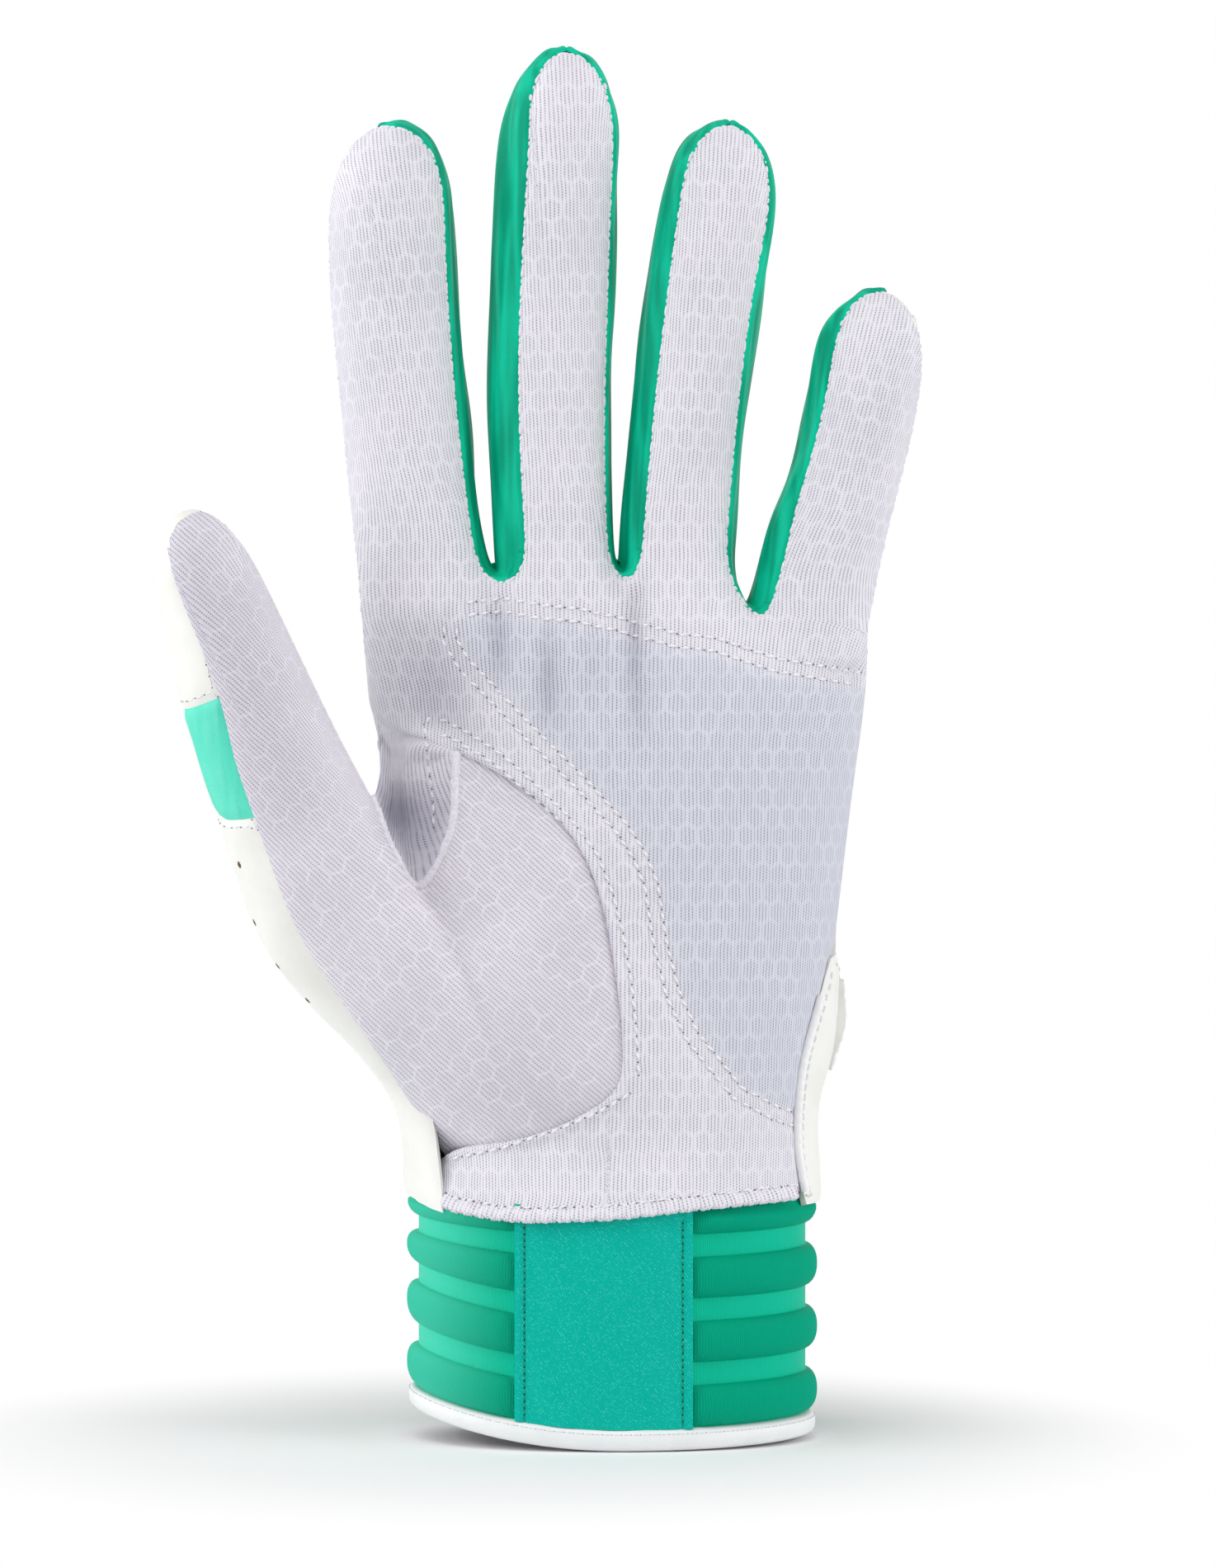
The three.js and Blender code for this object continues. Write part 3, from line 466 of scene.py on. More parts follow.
# %% Satin
satin = Finish("label satin", {"Roughness": 0.5, "Specular IOR Level": 0.06})
u, v, _ = satin.cloth()
floats = (u + v * 0.6).wave(TWILL)
grain = satin.add("ShaderNodeCombineXYZ", None, {0: u * 4.4 + v * 2.2, 1: v * 6.4})
cell = satin.add("ShaderNodeTexVoronoi", {"feature": "F1"}, {"Vector": grain, "Scale": 1.0}, out="Color")
# Painted glints and sheen: the twill's floats are a lighter green, and the shining floats lighter still.
spark = satin.split(cell)[0].step(0.7, 0.97) * floats
sheen = satin.mix(floats * 0.6, colour(0, 170, 152), colour(0, 194, 178))
satin.paint(satin.mix(spark * 0.45, sheen, colour(96, 230, 210)))
satin.gloss(0.48 - spark * 0.2)
satin.emboss(floats * 0.04, 0.7)
print("satin: twill", TWILL, "mm apart")

# %% [markdown]
# ## Leather, trim, foam, tape and thread
#
# The back and the thumb's outer side are white synthetic leather: a fine pebbled grain with soft
# creases. The trims are smoother. Foam, hook tape and thread are small or hidden, but each still
# has its own surface.

# %% Leather and trim
def leather(name, pale, warm, roughness, pebble):
    """Pebbled leather between two whites, with grain of a size in millimetres."""
    finish = Finish(name, {"Specular IOR Level": 0.4})
    grain = finish.add("ShaderNodeTexVoronoi", {"feature": "SMOOTH_F1"},
                       {"Vector": finish.place(), "Scale": 1 / (pebble * MM), "Smoothness": 0.6})
    crease = finish.noise(7.0, 4.0)
    finish.paint(finish.mix(crease.step(0.35, 0.75), pale, warm))
    finish.gloss(crease * 0.15 + (roughness - 0.07))
    finish.emboss(grain * 0.05 + crease * 0.16, 0.6)
    return finish.material


back_leather = leather("back leather", colour(238, 238, 234), colour(233, 233, 227), 0.5, 0.9)
trim_white = leather("trim", colour(238, 238, 239), colour(231, 232, 234), 0.45, 0.5)
print("leather for the back, and a smoother one for the trims")

# %% Foam, tape and thread
def woven(name, pale, dark, size, depth):
    """A small even texture for tape, foam and thread."""
    finish = Finish(name, {"Roughness": 0.85, "Specular IOR Level": 0.2})
    lump = finish.noise(size, 3.0)
    finish.paint(finish.mix(lump.step(0.3, 0.7), dark, pale))
    finish.emboss(lump * depth)
    return finish.material


pad_foam = woven("pad foam", colour(176, 178, 188), colour(150, 152, 164), 1.2, 0.3)
hook_tape = woven("hook tape", colour(226, 226, 228), colour(170, 170, 176), 0.5, 0.5)
white_thread = woven("white thread", colour(246, 246, 248), colour(230, 229, 235), 0.3, 0.08)
knit_thread = woven("knit edge", colour(236, 234, 240), colour(220, 217, 227), 0.4, 0.1)
green_thread = woven("green thread", colour(40, 190, 165), colour(0, 128, 108), 0.3, 0.08)
needle_hole = woven("needle hole", colour(136, 133, 146), colour(112, 109, 122), 0.3, 0.05)
pale_hole = woven("pale needle hole", colour(190, 192, 198), colour(172, 174, 182), 0.3, 0.05)
# The dimple's grey is painted shade in the stitch dimples beside the piping.
dimple = woven("leather dimple", colour(222, 223, 224), colour(208, 209, 212), 0.3, 0.05)
vent_hole = woven("vent hole", colour(86, 74, 68), colour(60, 50, 46), 0.3, 0.05)
green_hole = woven("label needle hole", colour(4, 92, 78), colour(0, 66, 56), 0.3, 0.05)
vent_edge = woven("vent edge", colour(150, 112, 84), colour(96, 66, 46), 0.4, 0.05)
print("11 small finishes")

# %% [markdown]
# ## From a packed panel to a sheet
#
# Each packed panel is a thin closed solid. The cloth keeps only its outer face. The wall round the
# rim is found by its edges, which are all as long as the cloth is thick, and it is cut away. Of the
# two faces left, the one that looks the right way stays. Its triangles are paired back into a grid
# of quads, because a grid subdivides into smooth cloth.

# %% Helpers for objects
def only(thing):
    """Selects one object and nothing else."""
    bpy.ops.object.select_all(action="DESELECT")
    thing.select_set(True)
    bpy.context.view_layer.objects.active = thing


def new_object(name, mesh):
    thing = bpy.data.objects.new(name, mesh)
    bpy.context.scene.collection.objects.link(thing)
    only(thing)
    return thing


def modify(thing, kind, **settings):
    """Adds a modifier and applies it."""
    only(thing)
    modifier = thing.modifiers.new(kind, kind)
    for name, value in settings.items():
        setattr(modifier, name, value)
    bpy.ops.object.modifier_apply(modifier=kind)


def thicken(thing, thick, crisp=55):
    """Gives a sheet its thickness inwards, in millimetres, and keeps edges over an angle crisp."""
    modify(thing, "SOLIDIFY", thickness=thick * MM, offset=-1)
    bpy.ops.object.shade_smooth_by_angle(angle=math.radians(crisp))


print("objects are made, modified and thickened one at a time")

# %% From a packed panel to a sheet
SAME_PLACE = 0.001 * MM


def islands(edit):
    """Groups of faces that hang together."""
    rest = dict.fromkeys(edit.faces)
    while rest:
        group = [rest.popitem()[0]]
        for face in group:
            for other in (other for edge in face.edges for other in edge.link_faces):
                if other in rest:
                    del rest[other]
                    group.append(other)
        yield group


def diagonals(edit):
    """The edges that cut a grid's quads in two, followed outwards from a corner."""
    corner = next(vert for vert in edit.verts if len(vert.link_faces) == 1)
    first = corner.link_faces[0]
    cut = {first: next(i for i, edge in enumerate(first.edges) if corner not in edge.verts)}
    todo = [first]
    for face in todo:
        for i, edge in enumerate(face.edges):
            for other in edge.link_faces:
                if other not in cut:
                    cut[other] = (list(other.edges).index(edge) + cut[face] - i) % 3
                    todo.append(other)
    found = {face.edges[i] for face, i in cut.items()}
    return [edge for edge in edit.edges if edge in found]


def skin(node, way):
    """The face of a packed panel that looks the given way, as a grid of quads."""
    edit = bmesh.new()
    edit.from_mesh(frame["nodes"][node].data)
    bmesh.ops.remove_doubles(edit, verts=edit.verts, dist=SAME_PLACE)
    edit.normal_update()
    thick = Counter(round(edge.calc_length() / MM, 3) for edge in edit.edges).most_common(1)[0][0]

    def is_wall(edge):
        run = (edge.verts[1].co - edge.verts[0].co) / MM
        slant = max(abs(run.dot(vert.normal)) for vert in edge.verts) / thick
        return abs(run.length - thick) < 0.002 and slant > 0.3

    walls = set(filter(is_wall, edit.edges))
    rim = [face for face in edit.faces if walls.intersection(face.edges)]
    bmesh.ops.delete(edit, geom=rim, context="FACES")
    sides = sorted(islands(edit), key=lambda side: sum(f.normal.dot(way) * f.calc_area() for f in side))
    bmesh.ops.delete(edit, geom=[face for side in sides[:-1] for face in side], context="FACES")
    bmesh.ops.dissolve_edges(edit, edges=diagonals(edit))
    print(f"{node}: {thick} mm thick, {len(sides)} sides,", Counter(len(face.verts) for face in edit.faces))
    mesh = bpy.data.meshes.new(node)
    edit.to_mesh(mesh)
    edit.free()
    return mesh, thick


# %% [markdown]
# ## The cuff's oval
#
# Cuff, hem and the lower edges of the wrist's panels all lie on one oval, a little squarer than an
# ellipse. Its rim dips at the front and climbs to the left, as the cuff stands on its lowest point.
# One formula gives every point of it, so that all these pieces fit each other.

# %% The cuff's oval
MIDDLE = 11.1
CUFF_X = 11.75
CUFF_Y = 0.815
CUFF_WIDE = 31.25
CUFF_DEEP = 21.0
OVAL = 2.2
LEFT_LIFT, LEFT_REACH = 5.2, 36
RIGHT_LIFT, RIGHT_REACH = 0.8, 33
LIFT_CURVE = 2.1
TOP_LEVEL = 0.68


def smooth(value, low, high):
    """Rises smoothly from 0 at low to 1 at high."""
    share = np.clip((value - low) / (high - low), 0, 1)
    return share * share * (3 - 2 * share)


def on_cuff(angle, out, z, lifted=True):
    """A point on the cuff's oval: the angle from its front, and how far out and up, in millimetres."""
    def rounded(value):
        return np.sign(value) * np.abs(value) ** (2 / OVAL)
    x = CUFF_X + (CUFF_WIDE + out) * rounded(np.sin(angle))
    y = CUFF_Y - (CUFF_DEEP + out) * rounded(np.cos(angle))
    rise = LEFT_LIFT * ((MIDDLE + 4 - x) / LEFT_REACH).clip(0) ** LIFT_CURVE
    rise = rise * (1 - TOP_LEVEL * smooth(z, 20, 38))
    rise += RIGHT_LIFT * ((x - MIDDLE) / RIGHT_REACH).clip(0) ** LIFT_CURVE
    return np.stack([x, y, z + lifted * rise], -1) * MM


def lengths(line):
    """How far along a line each of its points is."""
    return np.concatenate([[0], np.cumsum(np.linalg.norm(np.diff(line, axis=0), axis=1))])


oval_turn = np.linspace(-math.pi, math.pi, 2001)
oval_ring = on_cuff(oval_turn, 0, 0 * oval_turn)
oval_run = lengths(oval_ring[:, :2]) / MM


def angle_at(x, y):
    """The angle at which the oval is nearest to a point, given in millimetres."""
    return oval_turn[np.hypot(oval_ring[:, 0] / MM - x, oval_ring[:, 1] / MM - y).argmin()]


def even_angles(first, last, count):
    """Angles at even steps along the oval."""
    ends = np.interp((first, last), oval_turn, oval_run)
    return np.interp(np.linspace(*ends, count), oval_run, oval_turn)


print("oval:", round(oval_run[-1]), "mm round")

# %% [markdown]
# ## Sewing the panels
#
# Panels cut from one cloth, such as the palm and the finger fronts that grow out of it, are merged
# into one cage, so that no line shows where they meet. Panels of different cloths are only drawn
# together: the border of each moves half way to its neighbour's, as a seam pulls two edges. The palm
# laps over the thumb's ball, so that border is pushed on, under the palm.

# %% Which panels are sewn together
FINGERS = ("index", "middle", "ring", "pinky")
FRONT, BACK, LEFT, RIGHT, UP = (0, -1, 0), (0, 1, 0), (-1, 0, 0), (1, 0, 0), (0, 0, 1)

sewn = {"palm": [("palm_panel", FRONT)] + [(f"{finger}_palm_strip", FRONT) for finger in FINGERS],
        "thumb": [("thenar_panel", FRONT), ("thumb_front", FRONT)],
        "thumb_outside": [("thumb_side_base", LEFT), ("thumb_side_lower", LEFT)]}
for first, second in zip(FINGERS, FINGERS[1:]):
    sewn[f"{first}_{second}"] = [(f"{first}_{second}_crotch", UP), (f"{first}_right_gusset", RIGHT),
                                 (f"{second}_left_gusset", LEFT)]
back_nodes = [f"{finger}_back_strip" for finger in FINGERS]
back_nodes += ["back_panel", "back_side_panel", "knuckle_flex", "thumb_back"]
for node in back_nodes:
    sewn[node] = [(node, BACK)]
for node, way in (("thumb_flex_insert", LEFT), ("thumb_side_tip", LEFT), ("wrist_side_panel", RIGHT)):
    sewn[node] = [(node, way)]
laid = {node: [(node, BACK)] for node in ("closure_strap", "strap_anchor", "loop_patch", "hook_patch")}
parts_of = {**sewn, **laid}

hinge = {}
for joint in frame["joints"]:
    axis = np.array(joint["axis"])
    hinge[joint["child"]] = (np.array(joint["pos_m"]), axis, np.array([-axis[2], 0, axis[0]]))
print(len(sewn), "cages to sew and", len(laid), "to lay on;", "hinges:", ", ".join(hinge))

# %% Sewing the panels
SEW_REACH = 1.2 * MM
thickness = {}


def sew(parts):
    """One cage from several panels, in which each face keeps its panel's number."""
    cage = bmesh.new()
    number = cage.faces.layers.int.new("panel")
    for index, (node, way) in enumerate(parts):
        before = len(cage.faces)
        mesh, thickness[node] = skin(node, way)
        cage.from_mesh(mesh)
        cage.faces.ensure_lookup_table()
        for face in cage.faces[before:]:
            face[number] = index
    border = [(vert, vert.link_faces[0][number]) for vert in cage.verts if vert.is_boundary]
    meets = {}
    for vert, index in border:
        near = [other for other, lower in border if lower < index and (other.co - vert.co).length < SEW_REACH]
        if near:
            meets[vert] = min(near, key=lambda other: (other.co - vert.co).length)
    for vert, other in meets.items():
        other.co = (other.co + vert.co) / 2
    bmesh.ops.weld_verts(cage, targetmap=meets)
    return cage


cages = {name: sew(parts) for name, parts in parts_of.items()}
print(len(cages), "cages from", len(thickness), "panels")

# %% Drawing the borders together
DRAW_REACH = 2.6 * MM


def border_edges(cage):
    """The two ends of each edge along the border of a cage or sheet."""
    return np.array([[vert.co for vert in edge.verts] for edge in cage.edges if edge.is_boundary])


def draw_together():
    """Moves each sewn border half way to the nearest border of another cage."""
    ends = {name: border_edges(cages[name]) for name in sewn}
    moves = []
    for name in sewn:
        start, end = np.concatenate([ends[other] for other in sewn if other != name]).transpose(1, 0, 2)
        run = end - start
        for vert in (vert for vert in cages[name].verts if vert.is_boundary):
            share = ((np.array(vert.co) - start) * run).sum(1) / (run * run).sum(1)
            points = start + share.clip(0, 1)[:, None] * run
            far = np.linalg.norm(points - np.array(vert.co), axis=1)
            if far.min() < DRAW_REACH:
                moves.append((vert, (vert.co + Vector(points[far.argmin()])) / 2))
    for vert, place in moves:
        vert.co = place
    return len(moves)


def border_samples(cage, steps=8):
    """Points all along the border of a cage or sheet."""
    ends = border_edges(cage)
    return np.concatenate([ends[:, 0] + (ends[:, 1] - ends[:, 0]) * step / steps for step in range(steps)])


def nearest_in(samples):
    """A tree that finds the nearest of many points."""
    tree = KDTree(len(samples))
    for index, sample in enumerate(samples):
        tree.insert(sample, index)
    tree.balance()
    return tree


print(draw_together(), "border points drawn together")

# %% [markdown]
# ## Settling the cloth
#
# Even panels look too even. As with a sculptor's brushes, seams are slid along the surface, and parts
# of the outline are grabbed and moved with a soft fall-off: the thumb's leather reaches further
# round its front, the little finger leans out, and the wrist's lower edges come down over the cuff.

# %% Brushes for the cloth
THUMB_SIDES = ("thumb_side_tip", "thumb_flex_insert", "thumb_outside")
SEAM_REACH = 0.9 * MM


def body_of(name, vert):
    """The body of the panel that a cage's point belongs to."""
    number = cages[name].faces.layers.int["panel"]
    node, _ = parts_of[name][vert.link_faces[0][number]]
    return frame["nodes"][node]["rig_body"]


def points_of(*names):
    """All the points of some cages."""
    return [vert for name in names for vert in cages[name].verts]


def border_of(*names):
    """The border points of some cages."""
    return [vert for vert in points_of(*names) if vert.is_boundary]


def seam_between(name, others):
    """The border points of a cage that lie on the border of some others."""
    other = nearest_in(np.concatenate([border_samples(cages[beside]) for beside in others]))
    return [vert.co.copy() for vert in border_of(name) if other.find(vert.co)[2] < SEAM_REACH]


def slide(names, seam, way, shift, reach, bodies):
    """Moves the cloth beside a seam along its own surface, by shift(height) millimetres."""
    surface = [BVHTree.FromBMesh(cages[name]) for name in names]
    near = nearest_in(seam)
    for name in names:
        for vert in cages[name].verts:
            fade = 1 - float(smooth(near.find(vert.co)[2] / MM, 0, reach))
            if fade > 0 and body_of(name, vert) in bodies:
                target = vert.co + Vector(way) * shift(vert.co.z / MM) * fade * MM
                vert.co = min((tree.find_nearest(target) for tree in surface), key=lambda hit: hit[3])[0]


def onto_cuff(vert, out, height):
    """Puts a border point on the cuff's oval at a height."""
    vert.co = on_cuff(angle_at(vert.co.x / MM, vert.co.y / MM), out, height, lifted=False)


print("brushes: slide along the cloth, and set onto the cuff")

# %% Seams slid along the cloth
# Heights up the thumb, and how much further round its front the leather reaches there.
LEATHER_AT = (56, 66, 79, 118, 131, 139, 147)
LEATHER_MORE = (0, 1.5, 3.8, 3.8, 2.8, 1.5, 0.3)
PINKY_IN = -1.4
WRIST_SEAM_OUT = 1.3

slide(("thumb",) + THUMB_SIDES, seam_between("thumb", THUMB_SIDES), hinge["thumb"][1],
      lambda z: np.interp(z, LEATHER_AT, LEATHER_MORE), 9, ("hand", "thumb"))
pinky_seam = [place for place in seam_between("palm", ["ring_pinky"]) if place.x > 35 * MM]
slide(("palm", "ring_pinky"), pinky_seam, hinge["pinky"][1],
      lambda z: PINKY_IN * smooth(z, 140, 150), 6, ("pinky",))
slide(("palm", "wrist_side_panel"), seam_between("palm", ["wrist_side_panel"]), RIGHT,
      lambda z: WRIST_SEAM_OUT, 5, ("hand",))
print("3 seams slid")

# %% Outline grabbed and moved
# The body, or None for all, the place across and up, the shift across, and its reach across and up.
GRABS = [("index", -33, 190, -1.1, 9, 18),
         ("middle", -8, 170, -1.1, 6, 22),
         ("middle", 13, 185, 0.5, 6, 20),
         ("ring", 37, 200, 0.9, 6, 14),
         ("thumb", -46, 147, -1.3, 6, 7),
         (None, 53, 126, 1.3, 12, 18),
         (None, -42, 78, -2.0, 10, 9),
         (None, -15.2, 97, 2.3, 4, 5.5),
         (None, -22.5, 95.5, -2.0, 3.5, 4.5)]
# How far a finger leans at its tip, and the heights between which it starts to.
LEANS = {"pinky": (2.0, 135, 168), "thumb": (-1.4, 120, 146)}
INSERT_Z = (93, 101, 120, 131)
RIM_DIP, RIM_X, RIM_Z = 2.6, -18.9, 89.5


def bell(value, middle, wide):
    """1 at the middle, fading to 0 on both sides."""
    return math.exp(-((value - middle) / wide) ** 2)


def grab(name, vert):
    """Moves a point with every grab that reaches it, and with its finger's lean."""
    body = body_of(name, vert)
    x, _, z = vert.co / MM
    for who, at_x, at_z, shift, wide, tall in GRABS:
        if who in (None, body):
            vert.co.x += shift * MM * bell(x, at_x, wide) * bell(z, at_z, tall)
    if body in LEANS:
        shift, low, high = LEANS[body]
        vert.co.x += shift * MM * float(smooth(z, low, high))


for name, cage in cages.items():
    for vert in cage.verts:
        grab(name, vert)
# The hems of the thumb's insert are levelled, more so towards the front.
for vert in points_of(*THUMB_SIDES):
    front = min(max((-14 - vert.co.y / MM) / 6, 0), 1.2)
    vert.co.z += np.interp(vert.co.z / MM, INSERT_Z, (0, 0.5 - 3.2 * front, -2.5 - front, 0)) * MM
# The rim of the web's pocket dips at its corner.
for vert in points_of("thumb"):
    x, y, z = vert.co / MM
    if y < -9:
        vert.co.z -= RIM_DIP * MM * bell(x, RIM_X, 4) * bell(z, RIM_Z, 4)
print(len(GRABS), "grabs and", len(LEANS), "leans")

# %% Lower edges set onto the cuff
HEM_X = (-20, -14, -7, -1.7, 11.5, 24.7, 34, 43.7)
HEM_Z = (40.0, 37.4, 36.4, 36.1, 36.6, 38.0, 38.7, 39.2)
HEM_OUT = 2.35
LEATHER_EDGE = ((-20, -12.5), (39.6, 37.2))
BACK_EDGE_Z = 38.2

# The palm ends under the hem, also at its corner by the thumb.
for vert in border_of("palm"):
    x, y, z = vert.co / MM
    if z < 45.3 or x < -14 and y > -11.35 and z < 48.5:
        onto_cuff(vert, HEM_OUT - 0.6, float(np.interp(x, HEM_X, HEM_Z)) + 1.2)
# The thumb's leather spreads at its foot, to meet palm and back.
for vert in border_of("thumb_outside"):
    x, y, z = vert.co / MM
    if z < 51 and x > -20.5:
        vert.co.x += 3.6 * MM * float(smooth(x, -18.5, -16))
        vert.co.y += 2.2 * MM * float(smooth(y, -2, 0))
        onto_cuff(vert, HEM_OUT + 0.2, float(np.interp(vert.co.x / MM, *LEATHER_EDGE)))
# The wrist's side lies outside the hem, and the back inside it.
for name, out in (("wrist_side_panel", 0.4), ("back_panel", -0.7), ("back_side_panel", -0.7)):
    for vert in border_of(name):
        if vert.co.z < 43.5 * MM:
            onto_cuff(vert, HEM_OUT + out, BACK_EDGE_Z)
print("palm, leather and back end on the cuff")

# %% Wrist, strap and leather edges
SIDE_Z = (42, 47, 52, 56, 61, 66, 72, 80)
SIDE_OUT = (0, 0.9, 0.4, 0.9, 2.4, 2.7, 2.4, 0)

# The slit in the back is closed above the strap.
for vert in border_of("back_side_panel"):
    if vert.co.x < 28 * MM and vert.co.z > 74 * MM:
        vert.co += Vector((-1.3, -0.5, 0)) * MM
# The wrist's side bulges where the strap ends.
for vert in points_of("wrist_side_panel", "back_side_panel"):
    x, y, z = vert.co / MM
    if x > 38:
        share = float(np.interp(z, SIDE_Z, SIDE_OUT) * smooth(y, -8, -2) * (1 - smooth(y, 0.8, 3)))
        vert.co.x += share * MM
# The strap's end bends round the wrist's side.
for vert in points_of("closure_strap"):
    x, y, z = vert.co / MM
    if x > 44:
        vert.co.x -= (2.3 * ((z - 66.5) / 7) ** 2 + 0.1) * (1 - float(smooth(y, 1, 6))) * MM
# The thumb's leather laps under the edge of the knit.
knit_edge = nearest_in(border_samples(cages["thumb"]))
for vert in border_of(*THUMB_SIDES):
    if knit_edge.find(vert.co)[2] < 2.2 * MM and vert.co.z > 52 * MM:
        z = vert.co.z / MM
        lap = float((2.2 + 1.6 * (1 - smooth(z, 55, 60))) * (1 - smooth(z, 130, 143)))
        vert.co += (Vector(hinge["thumb"][1]) * lap + Vector((0, 0.27 * lap, 0))) * MM
# The side panel runs up to a point, and the thumb's back goes down under the leather.
for vert in points_of("wrist_side_panel"):
    vert.co.z += 6.5 * MM * max(0, vert.co.z / MM - 60) ** 2 / 100
for vert in border_of("thumb_back"):
    if vert.co.z < 99 * MM:
        vert.co += Vector((0.8, -0.8, -3.2)) * MM
print("wrist, strap and leather edges settled")

# %% [markdown]
# ## Laps and tucks
#
# Where two cloths are sewn one over the other, the lower one goes on a little under the upper. A
# seam that only touches would open to a dark line in a bent pose or a low view, so the hidden
# borders are moved on, along the cloth and a little inwards.

# %% Laps and tucks
LAP = 0.9 * MM
BALL_CORNER = Vector((-15.5, -11.5, 49.5)) * MM
palm_border = nearest_in(border_samples(cages["palm"]))
thumb_border = nearest_in(border_samples(cages["thumb"]))
cages["thumb"].normal_update()
cages["thumb_outside"].normal_update()


def outwards(vert):
    """The way a sheet would go on past a point of its border."""
    inner = [edge.other_vert(vert) for edge in vert.link_edges if not edge.is_boundary]
    if not inner:
        inner = [edge.other_vert(vert) for edge in vert.link_edges]
    return sum(((vert.co - other.co).normalized() for other in inner), Vector()).normalized()


def corner_reach(vert):
    """More cloth is tucked in at the corner where ball, palm and leather meet."""
    return 3.8 * MM * math.exp(-((vert.co - BALL_CORNER).length / (6 * MM)) ** 2)


shifts = []
for vert in border_of("thumb"):
    more = corner_reach(vert)
    if palm_border.find(vert.co)[2] < LAP or more > 0.6 * MM:
        shifts.append((vert, outwards(vert) * (LAP + more) - vert.normal * (0.25 * MM + more / 4)))
for vert in border_of("thumb_outside"):
    if vert.co.y > -9.5 * MM and 78 * MM < vert.co.z < 100.5 * MM:
        shifts.append((vert, (outwards(vert) * 2.2 - vert.normal * 0.5) * MM))
for vert in border_of("palm"):
    share = float(smooth(vert.co.z / MM, 107, 113) * (1 - smooth(vert.co.z / MM, 122, 128)))
    if vert.co.x < -22 * MM:
        shifts.append((vert, Vector((0.7, 2.2, 0)) * share * MM))
for vert, shift in shifts:
    vert.co += shift
for vert in points_of("knuckle_flex", "back_panel", "back_side_panel"):
    side = (vert.co.x / MM - MIDDLE) / 40
    z = vert.co.z / MM
    share = float(smooth(abs(side), 0.6, 0.95) * smooth(z, 104, 114) * (1 - smooth(z, 118, 128)))
    vert.co += Vector((-math.copysign(1.3, side), 0.8, 0)) * share * MM
print(len(shifts), "border points tucked under their neighbours")

# %% [markdown]
# ## Cloth coordinates
#
# A weave follows the cloth, so every point of a sheet gets its place across and along the weave,
# and its distance from the nearest seam. On a finger the loops run along the finger and round it;
# where a finger front grows out of the palm, one set of numbers fades into the other.

# %% Cloth coordinates
FADE = 20
BIAS = math.radians(48)


def on_finger(body, points):
    """Across and along a finger from its joint, in millimetres."""
    place, axis, along = hinge[body]
    return (points - place) @ axis / MM, (points - place) @ along / MM


def unrolled(across, along, depth):
    """Distance across a rounded front, measured over the cloth."""
    row = np.round(along / 4)
    rows = np.unique(row)
    crest = np.interp(along / 4, rows, [depth[row == value].min() for value in rows])
    tip = 1 - smooth(along, along.max() - 16, along.max() - 5)
    return across + np.sign(across) * 0.8 * np.clip(depth - crest, 0, None) * tip


def on_cloth(node, points):
    """Across and along the weave of a panel, in millimetres."""
    x, y, z = points.T / MM
    body = frame["nodes"][node]["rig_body"]
    if node == "palm_panel":
        across = unrolled(x - MIDDLE, z, y) + MIDDLE
        return x + (across - x) * (1 - smooth(z, 105, 140)), z
    if node.endswith("palm_strip"):
        lateral, far = on_finger(body, points)
        share = smooth(far, 0, FADE)
        turned = hinge[body][0][0] / MM + unrolled(lateral, far, y)
        return x + (turned - x) * share, z + (hinge[body][0][2] / MM + far - z) * share
    if node in ("thenar_panel", "thumb_front"):
        lateral, far = on_finger("thumb", points)
        lateral += (unrolled(lateral, far, y) - lateral) * smooth(far, -5, FADE)
        level = lateral * hinge["thumb"][1][0] + far * hinge["thumb"][2][0]
        rise = lateral * hinge["thumb"][1][2] + far * hinge["thumb"][2][2]
        return level * math.cos(BIAS) + rise * math.sin(BIAS), rise * math.cos(BIAS) - level * math.sin(BIAS)
    if "gusset" in node or "crotch" in node:
        return y, z
    if node.startswith("thumb"):
        return y * 0.7 + z * 0.7, z * 0.7 - y * 0.7
    return x, z


print("a finger's weave takes over from the palm's in", FADE, "mm")

# %% [markdown]
# ## Pad rows and folds
#
# Two rows of stitches hold the pad inside the palm, and the cloth sinks along them. A worn palm
# also creases across the knuckle line. Each row or fold is a line of points on the flat front, in
# millimetres across and up, and the cloth near it is pressed in, with painted shade in the folds.

# %% Pad rows and folds
PAD_TOP = [(-12, 134.3), (-5.6, 135.1), (0.2, 133.9), (6.5, 133.3), (13.5, 131.7), (22.4, 129.2),
           (28.3, 128.6), (38.3, 125.3), (51.6, 123.3)]
PAD_LOW = [(-13, 130.7), (-13.2, 128.7), (-11, 125), (-6.5, 120.3), (-0.1, 113.6), (8, 105.7), (14.1, 98.9),
           (17, 94.5), (19, 89.6), (20.3, 80.9), (22.3, 72.6), (25.3, 65.9), (29, 61.3), (32.3, 57.1),
           (38.3, 53.8), (41.6, 52.6)]
ROW_GAP = 2.1


def beside(line, gap):
    """A line moved sideways by a gap, to its right as it runs."""
    line = np.array(line, float)
    run = np.gradient(line, axis=0)
    run /= np.linalg.norm(run, axis=1)[:, None]
    return line + gap * np.stack([run[:, 1], -run[:, 0]], 1)


pad_rows = [np.array(PAD_TOP), beside(PAD_TOP, ROW_GAP), np.array(PAD_LOW), beside(PAD_LOW, ROW_GAP)]
# Each fold's line, how deep it is and how wide.
FOLDS = [([(15.9, 143), (15.5, 133), (15.5, 124), (16.4, 106)], 1.9, 2.0),
         ([(-6.6, 138), (-6, 119)], 1.8, 2.0),
         ([(1.4, 133), (2, 110)], 1.8, 2.1),
         ([(8.7, 134), (8.4, 114)], 0.9, 2.2),
         ([(60, 123.8), (44, 123)], 1.1, 1.7),
         ([(-20, 133), (-15, 107)], 2.4, 6.0)]


